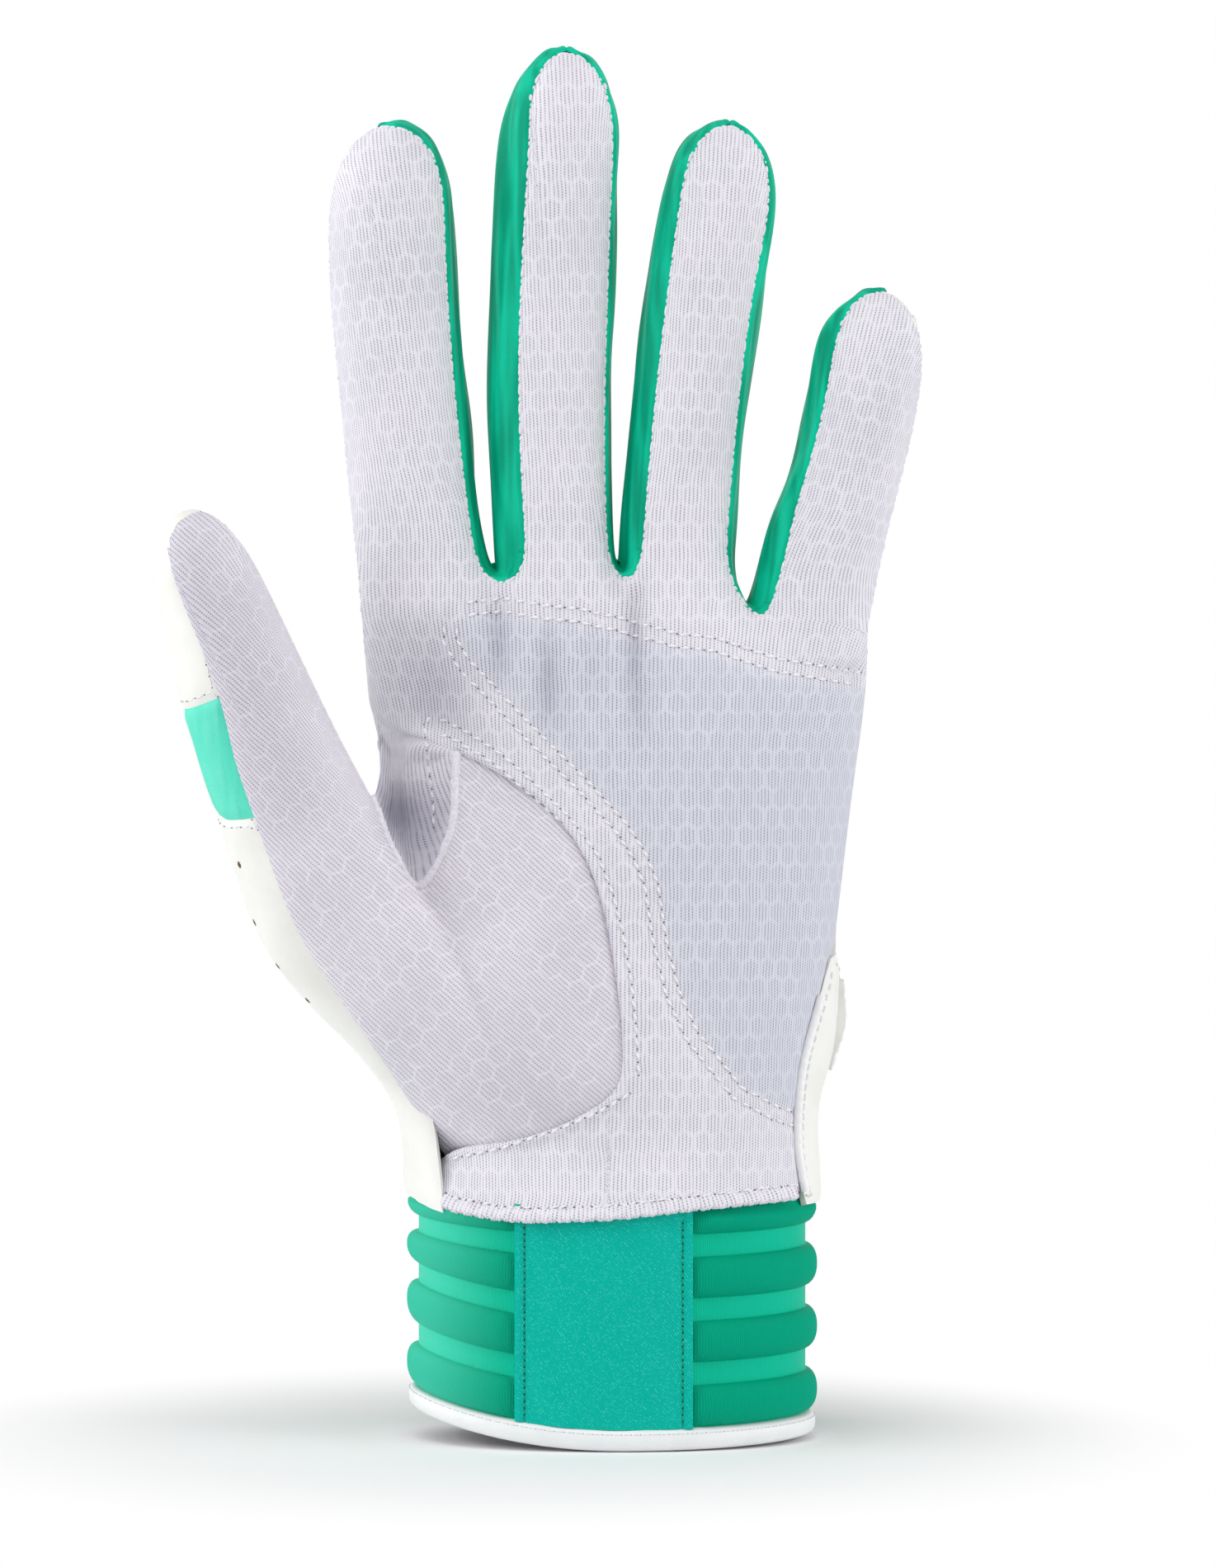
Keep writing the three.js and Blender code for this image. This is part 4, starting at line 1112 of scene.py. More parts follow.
def off_line(flat, line):
    """How far points on the flat front are from a line, and which share of its pieces lies behind them."""
    nearest = np.full(len(flat), np.inf)
    behind = np.zeros(len(flat))
    line = np.array(line, float)
    for number, (start, end) in enumerate(zip(line, line[1:])):
        share = ((flat - start) @ (end - start) / ((end - start) @ (end - start))).clip(0, 1)
        far = np.linalg.norm(flat - start - share[:, None] * (end - start), axis=1)
        behind = np.where(far < nearest, (number + share) / (len(line) - 1), behind)
        nearest = np.minimum(nearest, far)
    return nearest, behind


def inside(flat, outline):
    """1 for points inside a closed outline."""
    crossings = np.zeros(len(flat), bool)
    for (x0, z0), (x1, z1) in zip(outline, np.roll(outline, -1, axis=0)):
        spans = (z0 > flat[:, 1]) != (z1 > flat[:, 1])
        level = x0 + (flat[:, 1] - z0) * (x1 - x0) / (z1 - z0 + 1e-9)
        crossings ^= spans & (flat[:, 0] < level)
    return crossings


pad_outline = np.concatenate([pad_rows[1], [(70, 121), (70, 50)], pad_rows[2][::-1]])
print(len(pad_rows), "stitch rows and", len(FOLDS), "folds on the palm")

# %% [markdown]
# ## Dressing the panels
#
# A cage is subdivided until its faces are finer than its seams. Along each border the cloth then
# rolls under, with a small scallop at every stitch, and a slow noise keeps it from looking pressed.
# The sheet is cut into its panels again, and each gets its thickness inwards.

# %% Each panel's finish and body
FINISH = {"white_knit": palm_knit, "white_leather": back_leather, "green_stretch": gusset_green,
          "green_neoprene": neoprene.material, "green_satin": satin.material, "white_trim": trim_white,
          "grey_foam": pad_foam, "grey_tape": hook_tape}
OWN_FINISH = {"thenar_panel": thumb_knit, "thumb_front": thumb_knit, "thumb_web": web_knit,
              "thumb_flex_insert": insert_green, "knuckle_flex": knuckle_green, "wrist_hem": palm_knit}
# Past its hinge, where a finger, the thumb or the strap would start to bend, and over what length; nothing
# here bends them.
BEND_FROM = {"thumb": 5}
BEND_OVER = {"thumb": 16}
FINGER_BEND = 14
pieces = {}


def slot_of(node):
    """The record's slot that a packed panel takes its finish from."""
    return frame["nodes"][node].data.materials[0].name


def attach(piece, body):
    """Lets a piece ride on the hand; a piece of any other body only has its place baked into its points."""
    if body == "hand":
        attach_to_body(piece, body)
        return
    place, _, along = hinge[body]
    if body == "strap":
        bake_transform(piece)
        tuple(place)
        return
    start = place + along * BEND_FROM.get(body, 0) * MM
    start + along * BEND_OVER.get(body, FINGER_BEND) * MM
    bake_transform(piece)


def take_place(piece, node):
    """Gives a piece its packed panel's finish and place in the table, and sets a piece of the hand on the
    hand.
    """
    slot = slot_of(node)
    piece.data.materials.clear()
    piece.data.materials.append(OWN_FINISH.get(node, FINISH[slot]))
    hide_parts(node)
    attach(piece, frame["nodes"][node]["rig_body"])
    pieces[node] = piece


print(len(FINISH), "slots have a finish, and", len(OWN_FINISH), "panels have one of their own")

# %% Borders of a sheet
def border_distance(mesh, points, other):
    """How far points are from the border, how far that border is from another cloth's, and where it is."""
    edit = bmesh.new()
    edit.from_mesh(mesh)
    tree = nearest_in(border_samples(edit, 4))
    edit.free()
    found = [tree.find(point) for point in points]
    beside = [other.find(place)[2] for place, _, _ in found]
    places = np.array([place for place, _, _ in found]) / MM
    return np.array([far for _, _, far in found]) / MM, np.array(beside) / MM, places


def border_rings(mesh):
    """Each border of a sheet as a ring of points in order, with the way into the cloth at each.

    The edges are kept in a dict, whose order is the same in each run, so that every ring starts at
    the same point.
    """
    edit = bmesh.new()
    edit.from_mesh(mesh)
    rest = dict.fromkeys(edge for edge in edit.edges if edge.is_boundary)
    rings = []
    while rest:
        first, vert = rest.popitem()[0].verts
        ring = [first]
        while vert is not first:
            ring.append(vert)
            edge = next(edge for edge in vert.link_edges if edge in rest)
            del rest[edge]
            vert = edge.other_vert(vert)
        places = np.array([vert.co for vert in ring])
        inwards = []
        for vert in ring:
            inwards.append(sum((face.calc_center_median() - vert.co for face in vert.link_faces), Vector()))
        rings.append((places, np.array(inwards), [vert.index for vert in ring]))
    edit.free()
    return rings


def longest_ring(name):
    """The outer border of a dressed sheet."""
    return max(borders[name], key=lambda border: len(border[0]))


def store(mesh, name, kind, values):
    """Keeps a value or a vector for each point of a mesh."""
    field = "vector" if kind == "FLOAT_VECTOR" else "value"
    layer = mesh.attributes.new(name, kind, "POINT")
    layer.data.foreach_set(field, np.ascontiguousarray(values, np.float32).ravel())


borders = {}
print("borders are read as rings of points")

# %% How the cloth sinks
ROLL_DEEP = 0.5
ROLL_WIDE = 1.9
SCALLOP = 1.7
WAVE = 9 * MM
WAVE_DEEP = 0.22
ROW_DEEP = 0.35
GUSSETS = [f"{first}_{second}" for first, second in zip(FINGERS, FINGERS[1:])]
GUSSET_FOLD = np.array([4, 3, 24]) * MM


def at_web(places, high=117):
    """True for places, in millimetres, where the palm's cloth goes on into the web."""
    x, _, z = np.transpose(places)
    return (x < -12.6) & (z > 104) & (z < high)


def rolled_under(name, cloth, beside, border, roll):
    """How far a sheet rolls under along its border, less where it is lapped."""
    edge = cloth[:, 2]
    scallop = 0.9 + 0.15 * np.cos(cloth[:, 1] * 2 * math.pi / SCALLOP)
    sink = roll * (1 - edge / ROLL_WIDE).clip(0) ** 2 * scallop
    if name == "palm":
        lip = 0.7 * (1 - edge / 0.6).clip(0) ** 2 - 0.5 * np.exp(-((edge - 0.8) / 0.8) ** 2)
        sink = np.where(beside < 1.6, lip, sink)
        sink = np.where(at_web(border, 130), sink * smooth(border[:, 2], 119, 130), sink)
    if name == "thumb":
        sink = np.where(beside < 2.6, 0.35 * (1 - edge / 1.6).clip(0) ** 2, sink)
    return sink


def pressed_in(points, front, edge):
    """How deep the palm's folds and stitch rows press the cloth in, and how much shade is painted into the
    folds.
    """
    flat = points[:, [0, 2]] / MM
    sink = np.zeros(len(points))
    painted_shade = np.zeros(len(points))
    for line, deep, wide in FOLDS:
        far, behind = off_line(flat, line)
        taper = np.sin(behind * math.pi) * smooth(edge, 0, 4) * front
        painted_shade += deep / 2.4 * np.exp(-(far / (wide * 1.3)) ** 2) * taper
        sink += deep * np.exp(-(far / wide) ** 2) * taper
    for line in pad_rows:
        sink += ROW_DEEP * np.exp(-(off_line(flat, line)[0] / 0.8) ** 2) * front
    return sink, painted_shade.clip(0, 1)


def over_pad(points):
    """1 where the palm lies on its pad, 0 outside the stitch rows."""
    flat = points[:, [0, 2]] / MM
    reach = np.minimum(off_line(flat, pad_rows[1])[0], off_line(flat, pad_rows[2])[0])
    return smooth(np.where(inside(flat, pad_outline), reach, -reach), -1, 2)


def noise_at(points, size):
    """Soft noise from -1 to 1 at each point."""
    return np.array([soft_noise.noise(Vector(point / size)) for point in points])


def gathered(points, edge):
    """How a gusset's cloth lies: a narrow sunk edge beside a swelling, then folds along the finger."""
    sink = 0.4 * (1 - edge / 0.4).clip(0) - 0.12 * np.exp(-((edge - 0.7) / 0.6) ** 2)
    return sink + 0.9 * noise_at(points, GUSSET_FOLD) * smooth(edge, 0.8, 3)


print("cloth rolls under for", ROLL_WIDE, "mm, with a scallop every", SCALLOP, "mm")

# %% Dressing the panels
WORD = {"white_knit": "knit", "white_leather": "leather", "green_stretch": "stretch", "green_neoprene": "rib",
        "green_satin": "satin", "white_trim": "trim", "grey_foam": "foam", "grey_tape": "tape"}
surfaces = {}
cloths = {}


def weave(mesh, parts, points):
    """Each point's place across and along the weave of its panel."""
    cloth = np.zeros((len(points), 3))
    number = np.array([item.value for item in mesh.attributes["panel"].data])
    for index, (node, _) in enumerate(parts):
        mine = np.unique([v for face in mesh.polygons if number[face.index] == index for v in face.vertices])
        cloth[mine, :2] = np.stack(on_cloth(node, points[mine]), 1)
    return cloth


def cut_apart(mesh, parts):
    """Makes a piece of each panel of a dressed sheet."""
    for index, (node, _) in enumerate(parts):
        edit = bmesh.new()
        edit.from_mesh(mesh)
        panel = edit.faces.layers.int["panel"]
        bmesh.ops.delete(edit, geom=[face for face in edit.faces if face[panel] != index], context="FACES")
        cut = bpy.data.meshes.new(node)
        edit.to_mesh(cut)
        edit.free()
        piece = new_object(f"{node}_{WORD[slot_of(node)]}", cut)
        thicken(piece, thickness[node], crisp=50)
        take_place(piece, node)


def dress(name, parts, level, roll):
    """Subdivides a cage, shapes its cloth and cuts it into its panels."""
    mesh = bpy.data.meshes.new(name)
    cages[name].to_mesh(mesh)
    thing = new_object(name + "_cage", mesh)
    modify(thing, "SUBSURF", levels=level, render_levels=level, boundary_smooth="PRESERVE_CORNERS")
    mesh = thing.data
    points = np.array([vert.co for vert in mesh.vertices])
    normals = np.array([vert.normal for vert in mesh.vertices])
    other = palm_border if name == "thumb" else thumb_border
    edge, beside, border = border_distance(mesh, points, other)
    cloth = weave(mesh, parts, points)
    cloth[:, 2] = edge
    sink = rolled_under(name, cloth, beside, border, roll)
    if name == "thumb":
        # Painted shade down the middle of the thumb, stored for its knit.
        across, far = on_finger("thumb", points)
        store(mesh, "painted_shade", "FLOAT", 0.6 * np.exp(-((across - 2) / 6) ** 2) * smooth(far, 2, 16))
    if name == "palm":
        pressed, painted_shade = pressed_in(points, normals[:, 1] < 0.3, edge)
        sink += pressed
        store(mesh, "pad", "FLOAT", over_pad(points) * (normals[:, 1] < 0.6))
        # The shade painted into the palm's folds, stored for its knit.
        store(mesh, "painted_shade", "FLOAT", painted_shade)
    if name in GUSSETS:
        sink = gathered(points, edge)
    else:
        sink += WAVE_DEEP * noise_at(points, WAVE) * smooth(edge, 1, 6)
    points -= normals * sink[:, None] * MM
    mesh.vertices.foreach_set("co", points.astype(np.float32).ravel())
    store(mesh, "cloth", "FLOAT_VECTOR", cloth)
    borders[name] = border_rings(mesh)
    cloths[name] = cloth
    faces = [face.vertices[:] for face in mesh.polygons]
    surfaces[name] = BVHTree.FromPolygons([*map(Vector, points)], faces)
    cut_apart(mesh, parts)
    bpy.data.objects.remove(thing)


for name, parts in sewn.items():
    dress(name, parts, 3, ROLL_DEEP)
for name, parts in laid.items():
    dress(name, parts, 2, 0.3)
print(len(pieces), "panels dressed,", sum(len(piece.data.polygons) for piece in pieces.values()), "faces")

# %% [markdown]
# ## Thumb web
#
# Between thumb and palm the palm's cloth runs on into a pocket, whose front edge is rolled over into a
# soft pale lip. Each column of the pocket is a curve that leaves the palm in the palm's own
# direction, dips into the hand and comes forward again to the lip, so no line shows where it starts.

# %% Lines of the web
WEB_BACK = np.array([(-25.4, -1.4, 96.8), (-28.2, -6.4, 96.8)]) * MM
WEB_LOW = (-18.9, -14.2, 86.9)
WEB_TOP = [(-27.9, -1.1, 114.8), (-20.4, -8.4, 113.2)]
WEB_COLUMNS = 61
WEB_LEGS = (13, 21, WEB_COLUMNS - 32)


def resample(line, count):
    """A line's columns at even steps along its first three."""
    far = lengths(line[:, :3])
    return np.stack([np.interp(np.linspace(0, far[-1], count), far, column) for column in line.T], 1)


def stretch_of(ring, wanted):
    """The places of a closed ring that are wanted, in the ring's order."""
    start = next(k for k in range(len(ring)) if wanted[k] and not wanted[k - 1])
    order = np.roll(np.arange(len(ring)), -start)
    return order[:np.flatnonzero(~wanted[order])[0]]


def in_legs(line, corners, counts):
    """A line resampled leg by leg between the places nearest to some corners."""
    at = [np.linalg.norm(line[:, :3] / MM - corner, axis=1).argmin() for corner in corners]
    at = [0] + at + [len(line) - 1]
    legs = [resample(line[first:last + 1], count) for first, last, count in zip(at, at[1:], counts)]
    return np.concatenate([leg[:-1] for leg in legs[:-1]] + legs[-1:])


def left_to_right(line):
    return line if line[0, 0] < line[-1, 0] else line[::-1]


palm_ring, inwards, index = longest_ring("palm")
top = stretch_of(palm_ring, at_web(palm_ring / MM))
top = left_to_right(np.concatenate([palm_ring, -inwards, cloths["palm"][index][:, :2]], 1)[top])
top = in_legs(top, WEB_TOP, WEB_LEGS)
thumb_ring, _, _ = longest_ring("thumb")
x, y, z = thumb_ring.T / MM
on_rim = (x > -27) & (x < -12) & (z > 85.2) & (z < 110.5) & (y < -9)
rim = left_to_right(thumb_ring[stretch_of(thumb_ring, on_rim)])
low = in_legs(np.concatenate([WEB_BACK, rim]), [rim[0] / MM, WEB_LOW], WEB_LEGS)
print("web: from", len(top), "places on the palm down to a rim of", len(rim), "points")

# %% The web's pocket
WEB_DEEP = np.array([-19.5, 4, 101]) * MM
WEB_ROWS = 33
STRAIGHT_DOWN = np.array([0.2, -0.15, -1])
CREASE = 1.1


def cloth_grid(name, places, cloth):
    """A grid, added flat and carried to rows of places, that keeps its cloth coordinates."""
    rows, columns = places.shape[:2]
    bpy.ops.object.select_all(action="DESELECT")
    bpy.ops.mesh.primitive_grid_add(x_subdivisions=columns - 1, y_subdivisions=rows - 1, size=1)
    thing = bpy.context.object
    thing.name = name
    thing.data.vertices.foreach_set("co", places.astype(np.float32).ravel())
    store(thing.data, "cloth", "FLOAT_VECTOR", cloth)
    return thing


def unit(vectors):
    return vectors / np.linalg.norm(vectors, axis=1)[:, None]


# Each column's direction where it leaves the palm: outside, it hangs straight down.
span = np.linalg.norm(low - top[:, :3], axis=1)[:, None]
leave = unit(top[:, 3:6])
outer = 1 - smooth(np.arange(WEB_COLUMNS), 4, 14)[:, None]
leave = leave + (STRAIGHT_DOWN - leave) * outer
leave[:20, 0] = leave[:20, 0].clip(0.15)
leave *= span * 0.7
arrive = unit(low - WEB_DEEP) * span * 0.85
low = low + np.array([0, 0.35, 0]) * MM

# Columns as smooth curves, with a crease across them under the palm.
share = np.linspace(0, 1, WEB_ROWS)[:, None, None]
web = (top[:, :3] * (2 * share ** 3 - 3 * share ** 2 + 1) + leave * (share ** 3 - 2 * share ** 2 + share)
       + low * (3 * share ** 2 - 2 * share ** 3) + arrive * (share ** 3 - share ** 2))
creased = smooth(span.T / MM, 4, 12) * (1 - outer.T)
web[..., 1] += CREASE * MM * np.exp(-((share[..., 0] - 0.3) / 0.06) ** 2) * creased
steps = np.linalg.norm(np.diff(web, axis=0), axis=2)
fall = np.concatenate([np.zeros((1, WEB_COLUMNS)), np.cumsum(steps, axis=0)])
cloth = np.stack([top[:, 6] + 0 * fall, top[:, 7] - fall / MM, 0 * fall + 3], -1)

# The pocket is painted greyer in its depth, as painted shade, and less so towards its rim.
x, _, z = np.moveaxis(web, -1, 0) / MM
shaded = np.exp(-((x + 23) / 4.5) ** 2 - ((z - 100.5) / 5) ** 2)
shaded = (0.75 * shaded + 0.4 * (1 - smooth(z, 100, 108))) * (1 - 0.75 * smooth(share[..., 0], 0.72, 1))
pocket = cloth_grid("thumb_web_knit", web, cloth)
# Here the pad attribute carries painted shade; no pad lies under the web.
store(pocket.data, "pad", "FLOAT", shaded.clip(0, 1.1))
if pocket.data.vertices[WEB_COLUMNS * 3 + 30].normal.y > 0:
    pocket.data.flip_normals()
thicken(pocket, 0.8)
take_place(pocket, "thumb_web")
surfaces["web"] = BVHTree.FromObject(pocket, bpy.context.evaluated_depsgraph_get())
print("pocket:", len(pocket.data.polygons), "faces")

# %% The web's lip
LIP_RADIUS = 0.85
LIP_FUZZ = 0.3


def cord(name, line, radius):
    """A round cord along a line of points."""
    bpy.ops.object.select_all(action="DESELECT")
    bpy.ops.curve.primitive_nurbs_path_add()
    thing = bpy.context.object
    thing.name = name
    thing.data.splines.clear()
    path = thing.data.splines.new("POLY")
    path.points.add(len(line) - 1)
    path.points.foreach_set("co", np.concatenate([line, np.ones((len(line), 1))], 1).ravel())
    thing.data.bevel_depth = radius * MM
    thing.data.bevel_resolution = 4
    thing.data.use_fill_caps = True
    bpy.ops.object.convert(target="MESH")
    bpy.ops.object.shade_smooth()
    return thing


lip = cord("web_lip_knit", resample(rim + np.array([0, 0.3, 0.1]) * MM, 120), LIP_RADIUS)
for vert in lip.data.vertices:
    vert.co += vert.normal * soft_noise.noise(vert.co / (0.5 * MM)) * LIP_FUZZ * MM
lip.data.materials.clear()
lip.data.materials.append(knit_thread)
attach(lip, "thumb")
print("lip:", len(lip.data.polygons), "faces")

# %% [markdown]
# ## Cuff
#
# The cuff is an oval tube of neoprene with four padded ribs, finished with a rolled binding below and
# a satin panel in front. A flat grid is added and each of its points is carried onto the oval. The
# rib rows crowd towards the valleys, which stay crisp. Under the hem the band is pressed flat.

# %% Cuff
CUFF_LOW = 3.45
CUFF_TOP = 38.6
RIB_FIRST = 7.0
RIB_PITCH = 10.1
RIB_HALF = 3.3
RIB_PROUD = 1.9
LABEL_HALF = math.radians(23.6)
LABEL_TURN = math.radians(-2.6)


def wrap(name, angles, heights, out, thick, closed=False):
    """A grid carried onto the oval, out by out(angle, height), and given its thickness inwards."""
    angle, height = np.meshgrid(angles, heights)
    proud = out(angle, height)
    around = np.interp(angle, oval_turn, oval_run)
    thing = cloth_grid(name, on_cuff(angle, proud, height), np.stack([around, height, proud], -1))
    if closed:
        bpy.ops.object.mode_set(mode="EDIT")
        bpy.ops.mesh.select_all(action="SELECT")
        bpy.ops.mesh.remove_doubles(threshold=0.01 * MM)
        bpy.ops.object.mode_set(mode="OBJECT")
    thicken(thing, thick)
    return thing


def rib(angle, height):
    """How far the band stands out: a rounded pad over each rib, pressed down beside the panel."""
    place = (height - RIB_FIRST + RIB_PITCH / 2) % RIB_PITCH - RIB_PITCH / 2
    crown = (1 - np.abs(place / RIB_HALF).clip(0, 1) ** 2.4) ** 0.55
    under_hem = 1 - 0.7 * smooth(height, 36.2, 38.2)
    beside_panel = smooth(np.abs(angle - LABEL_TURN), LABEL_HALF - 0.03, LABEL_HALF + 0.09)
    return RIB_PROUD * crown * under_hem * (0.12 + 0.88 * beside_panel)


crowded = RIB_HALF * np.sin(np.linspace(-math.pi / 2, math.pi / 2, 15))
rows = [RIB_FIRST + RIB_PITCH * index + crowded for index in range(4)]
between = [RIB_FIRST + RIB_PITCH * (index + 0.5) + np.linspace(-1.4, 1.4, 4) for index in range(3)]
heights = np.unique(np.concatenate(rows + between + [[CUFF_LOW, CUFF_TOP]]).round(3))
heights = heights[(heights >= CUFF_LOW) & (heights <= CUFF_TOP)]
band = wrap("cuff_band_rib", even_angles(-math.pi, math.pi, 321), heights, rib, 1.8, closed=True)
take_place(band, "cuff_band")
print("band:", len(heights), "rows,", len(band.data.polygons), "faces")

# %% [markdown]
# ## Satin panel and lining
#
# The satin panel has both upright edges folded under, so they stand a little higher. The lining is
# a plain sleeve, which narrows above the cuff and closes the slit from inside. Both are grids
# carried onto the oval, as the band is.

# %% Satin panel and lining
LABEL_OUT = 0.9
LABEL_FOLD = 1.6
LABEL_RADIUS = 34
LINING_LOW = 1.2
LINING_TOP = 69
LINING_IN = 2.6


def folded(angle, height):
    """How far the satin stands out: slack in the middle, higher over its folded edges."""
    edge = (LABEL_HALF - np.abs(angle - LABEL_TURN)) * LABEL_RADIUS
    drift = 0.22 * np.sin(height / 5.1 + angle * 9) * np.cos(angle * 17 + height / 9)
    seam = np.exp(-((edge - LABEL_FOLD) / 0.35) ** 2)
    return LABEL_OUT + drift * smooth(edge, 1, 4) + 0.3 * (1 - smooth(edge, 1.2, 1.9)) - 0.22 * seam


def sleeve(angle, height):
    """How far out the lining lies: close inside the cuff, and further in above it."""
    return -LINING_IN - 0.06 * np.sin(height * 2) - 2.4 * smooth(height, 37, 43)


label = wrap("cuff_label_satin", even_angles(LABEL_TURN - LABEL_HALF, LABEL_TURN + LABEL_HALF, 97),
             np.linspace(CUFF_LOW, CUFF_TOP, 73), folded, 1.2)
take_place(label, "cuff_label")
lining = wrap("cuff_lining_sleeve", even_angles(-math.pi, math.pi, 161),
              np.linspace(LINING_LOW, LINING_TOP, 32), sleeve, 0.9, closed=True)
take_place(lining, "cuff_lining")
print("panel and lining:", len(label.data.polygons), "and", len(lining.data.polygons), "faces")

# %% [markdown]
# ## Binding
#
# The cuff's rim is bound with a white tape, rolled round it from outside to inside. It starts as a
# torus, whose section is squared and whose path is carried onto the oval.

# %% Binding
BINDING_HIGH = 3.6
BINDING_IN = 3.6
BINDING_OUT = 1.6
RING_RADIUS = 0.25

bpy.ops.object.select_all(action="DESELECT")
bpy.ops.mesh.primitive_torus_add(major_segments=240, minor_segments=20, major_radius=1,
                                 minor_radius=RING_RADIUS)
binding = bpy.context.object
binding.name = "cuff_binding_tape"
points = np.array([vert.co for vert in binding.data.vertices])
angle = np.arctan2(points[:, 1], points[:, 0])
out = (np.linalg.norm(points[:, :2], axis=1) - 1) / RING_RADIUS
up = points[:, 2] / RING_RADIUS
out, up = (np.sign(value) * np.abs(value) ** 0.6 for value in (out, up))
middle = (BINDING_OUT - BINDING_IN) / 2
angle = np.interp((angle + math.pi) / (2 * math.pi) * oval_run[-1], oval_run, oval_turn)
tape = on_cuff(angle, middle + out * (BINDING_OUT + BINDING_IN) / 2, (up + 1) * BINDING_HIGH / 2)
binding.data.vertices.foreach_set("co", tape.astype(np.float32).ravel())
only(binding)
bpy.ops.object.mode_set(mode="EDIT")
bpy.ops.mesh.select_all(action="SELECT")
bpy.ops.mesh.normals_make_consistent(inside=False)
bpy.ops.object.mode_set(mode="OBJECT")
bpy.ops.object.shade_smooth()
take_place(binding, "cuff_binding")
print("binding on an oval", round(oval_run[-1]), "mm round")

# %% [markdown]
# ## Hem
#
# The palm's knit comes down over the top of the cuff and ends in a narrow folded hem. Each column of
# the hem is found on its own: it starts on the cuff's oval, and its top is where a ray meets the
# dressed palm, so that the hem joins the cloth above it without a step.

# %% Hem
HEM_TALL = 2.5
HEM_COLUMNS = 241
HEM_ROWS = 13
HEM_FROM, HEM_TO = angle_at(-15.5, -14), angle_at(41, -11)


def skin_at(point, way, names):
    """Where a ray from a point first meets one of the dressed sheets, and the normal there."""
    hits = [surfaces[name].ray_cast(Vector(point), Vector(way)) for name in names]
    hits = [hit for hit in hits if hit[0] is not None]
    return min(hits, key=lambda hit: hit[3])[:2] if hits else (None, None)


def hem_profile(angle):
    """A column of the hem, from its cut edge on the cuff up to the row of stitches."""
    x = float(on_cuff(angle, HEM_OUT, 0)[0]) / MM
    edge = np.interp(x, HEM_X, HEM_Z) + 0.12 * math.sin(angle * 180) + 0.1 * math.sin(angle * 71)
    low = on_cuff(angle, HEM_OUT, edge, lifted=False)
    high = low + np.array([0, 0, HEM_TALL]) * MM
    inwards = np.array([CUFF_X, CUFF_Y, high[2] / MM]) * MM - high
    inwards /= np.linalg.norm(inwards)
    place, _ = skin_at(high - inwards * 0.01, inwards, ("palm", "thumb"))
    top = high if place is None else np.array(place) + inwards * 0.1 * MM
    share = np.linspace(0, 1, HEM_ROWS)[:, None]
    swell = np.sin(share * math.pi) * 0.3 * MM - (1 - share / 0.2).clip(0) ** 2 * 0.6 * MM
    return low + (top - low) * share - inwards * swell


hem_angles = even_angles(HEM_FROM, HEM_TO, HEM_COLUMNS)
columns = np.stack([hem_profile(angle) for angle in hem_angles], 1)
across = np.repeat(columns[None, -1, :, 0] / MM, HEM_ROWS, 0)
hem = cloth_grid("wrist_hem_knit", columns, np.stack([across, columns[..., 2] / MM, 0 * across + 3], -1))
thicken(hem, 0.7)
take_place(hem, "wrist_hem")
print("hem:", len(hem.data.polygons), "faces")

# %% [markdown]
# ## Piping, slit bindings and pad
#
# A piping runs down the seam between palm and wrist: a cord along the side panel's own border. The
# bindings of the slit and the pad inside the palm are soft forms without an edge, so their packed
# shapes are merged into quads and rounded by subdivision.

# %% Piping, slit bindings and pad
PIPING_RADIUS = 0.72
PIPING_OFF = np.array([0.3, -0.5, 0]) * MM
PAD_BEHIND = 0.7


def rounded_copy(node, name):
    """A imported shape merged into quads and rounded."""
    thing = new_object(name, frame["nodes"][node].data.copy())
    bpy.ops.object.mode_set(mode="EDIT")
    bpy.ops.mesh.select_all(action="SELECT")
    bpy.ops.mesh.remove_doubles(threshold=SAME_PLACE)
    bpy.ops.mesh.tris_convert_to_quads(face_threshold=math.radians(60), shape_threshold=math.radians(120))
    bpy.ops.object.mode_set(mode="OBJECT")
    modify(thing, "SUBSURF", levels=2, render_levels=2)
    bpy.ops.object.shade_smooth()
    return thing


side_ring, _, _ = longest_ring("wrist_side_panel")
by_palm = np.array([palm_border.find(point)[2] < 1.6 * MM for point in side_ring])
by_palm &= side_ring[:, 2] > 40 * MM
side_seam = side_ring[stretch_of(side_ring, by_palm)]
piping = cord("side_piping_cord", resample(side_seam + PIPING_OFF, 160), PIPING_RADIUS)
take_place(piping, "side_piping")
for node, word in (("slit_binding_left", "tape"), ("slit_binding_right", "tape"), ("palm_pad", "foam")):
    take_place(rounded_copy(node, f"{node}_{word}"), node)
pieces["palm_pad"].data.transform(Matrix.Translation((0, PAD_BEHIND * MM, 0)))
print(len(pieces), "of", len(frame["nodes"]), "packed panels have their piece")

# %% [markdown]
# ## Stitches
#
# A stitch is a short length of thread pulled into the cloth, with a needle hole at each end. One small
# bead is modelled and copied along every row, with its own length and width. Rows on the palm
# are lines on the flat front, set onto the cloth by a ray; rows along a seam follow its border.

# %% A bead for a stitch
bpy.ops.object.select_all(action="DESELECT")
bpy.ops.mesh.primitive_uv_sphere_add(segments=6, ring_count=4, radius=0.5)
bead_points = np.array([vert.co for vert in bpy.context.object.data.vertices])
bead_faces = [face.vertices[:] for face in bpy.context.object.data.polygons]
bpy.ops.object.delete()
print("a bead has", len(bead_faces), "faces")

# %% Rows of stitches
def even_steps(line, pitch):
    """Points at even steps along a line, and the way it runs there."""
    line = np.array(line, float)
    far = lengths(line)
    at = np.arange(pitch / 2, far[-1], pitch)
    points = np.stack([np.interp(at, far, column) for column in line.T], 1)
    ahead = np.stack([np.interp(at + pitch / 4, far, column) for column in line.T], 1)
    behind = np.stack([np.interp(at - pitch / 4, far, column) for column in line.T], 1)
    return points, ahead - behind


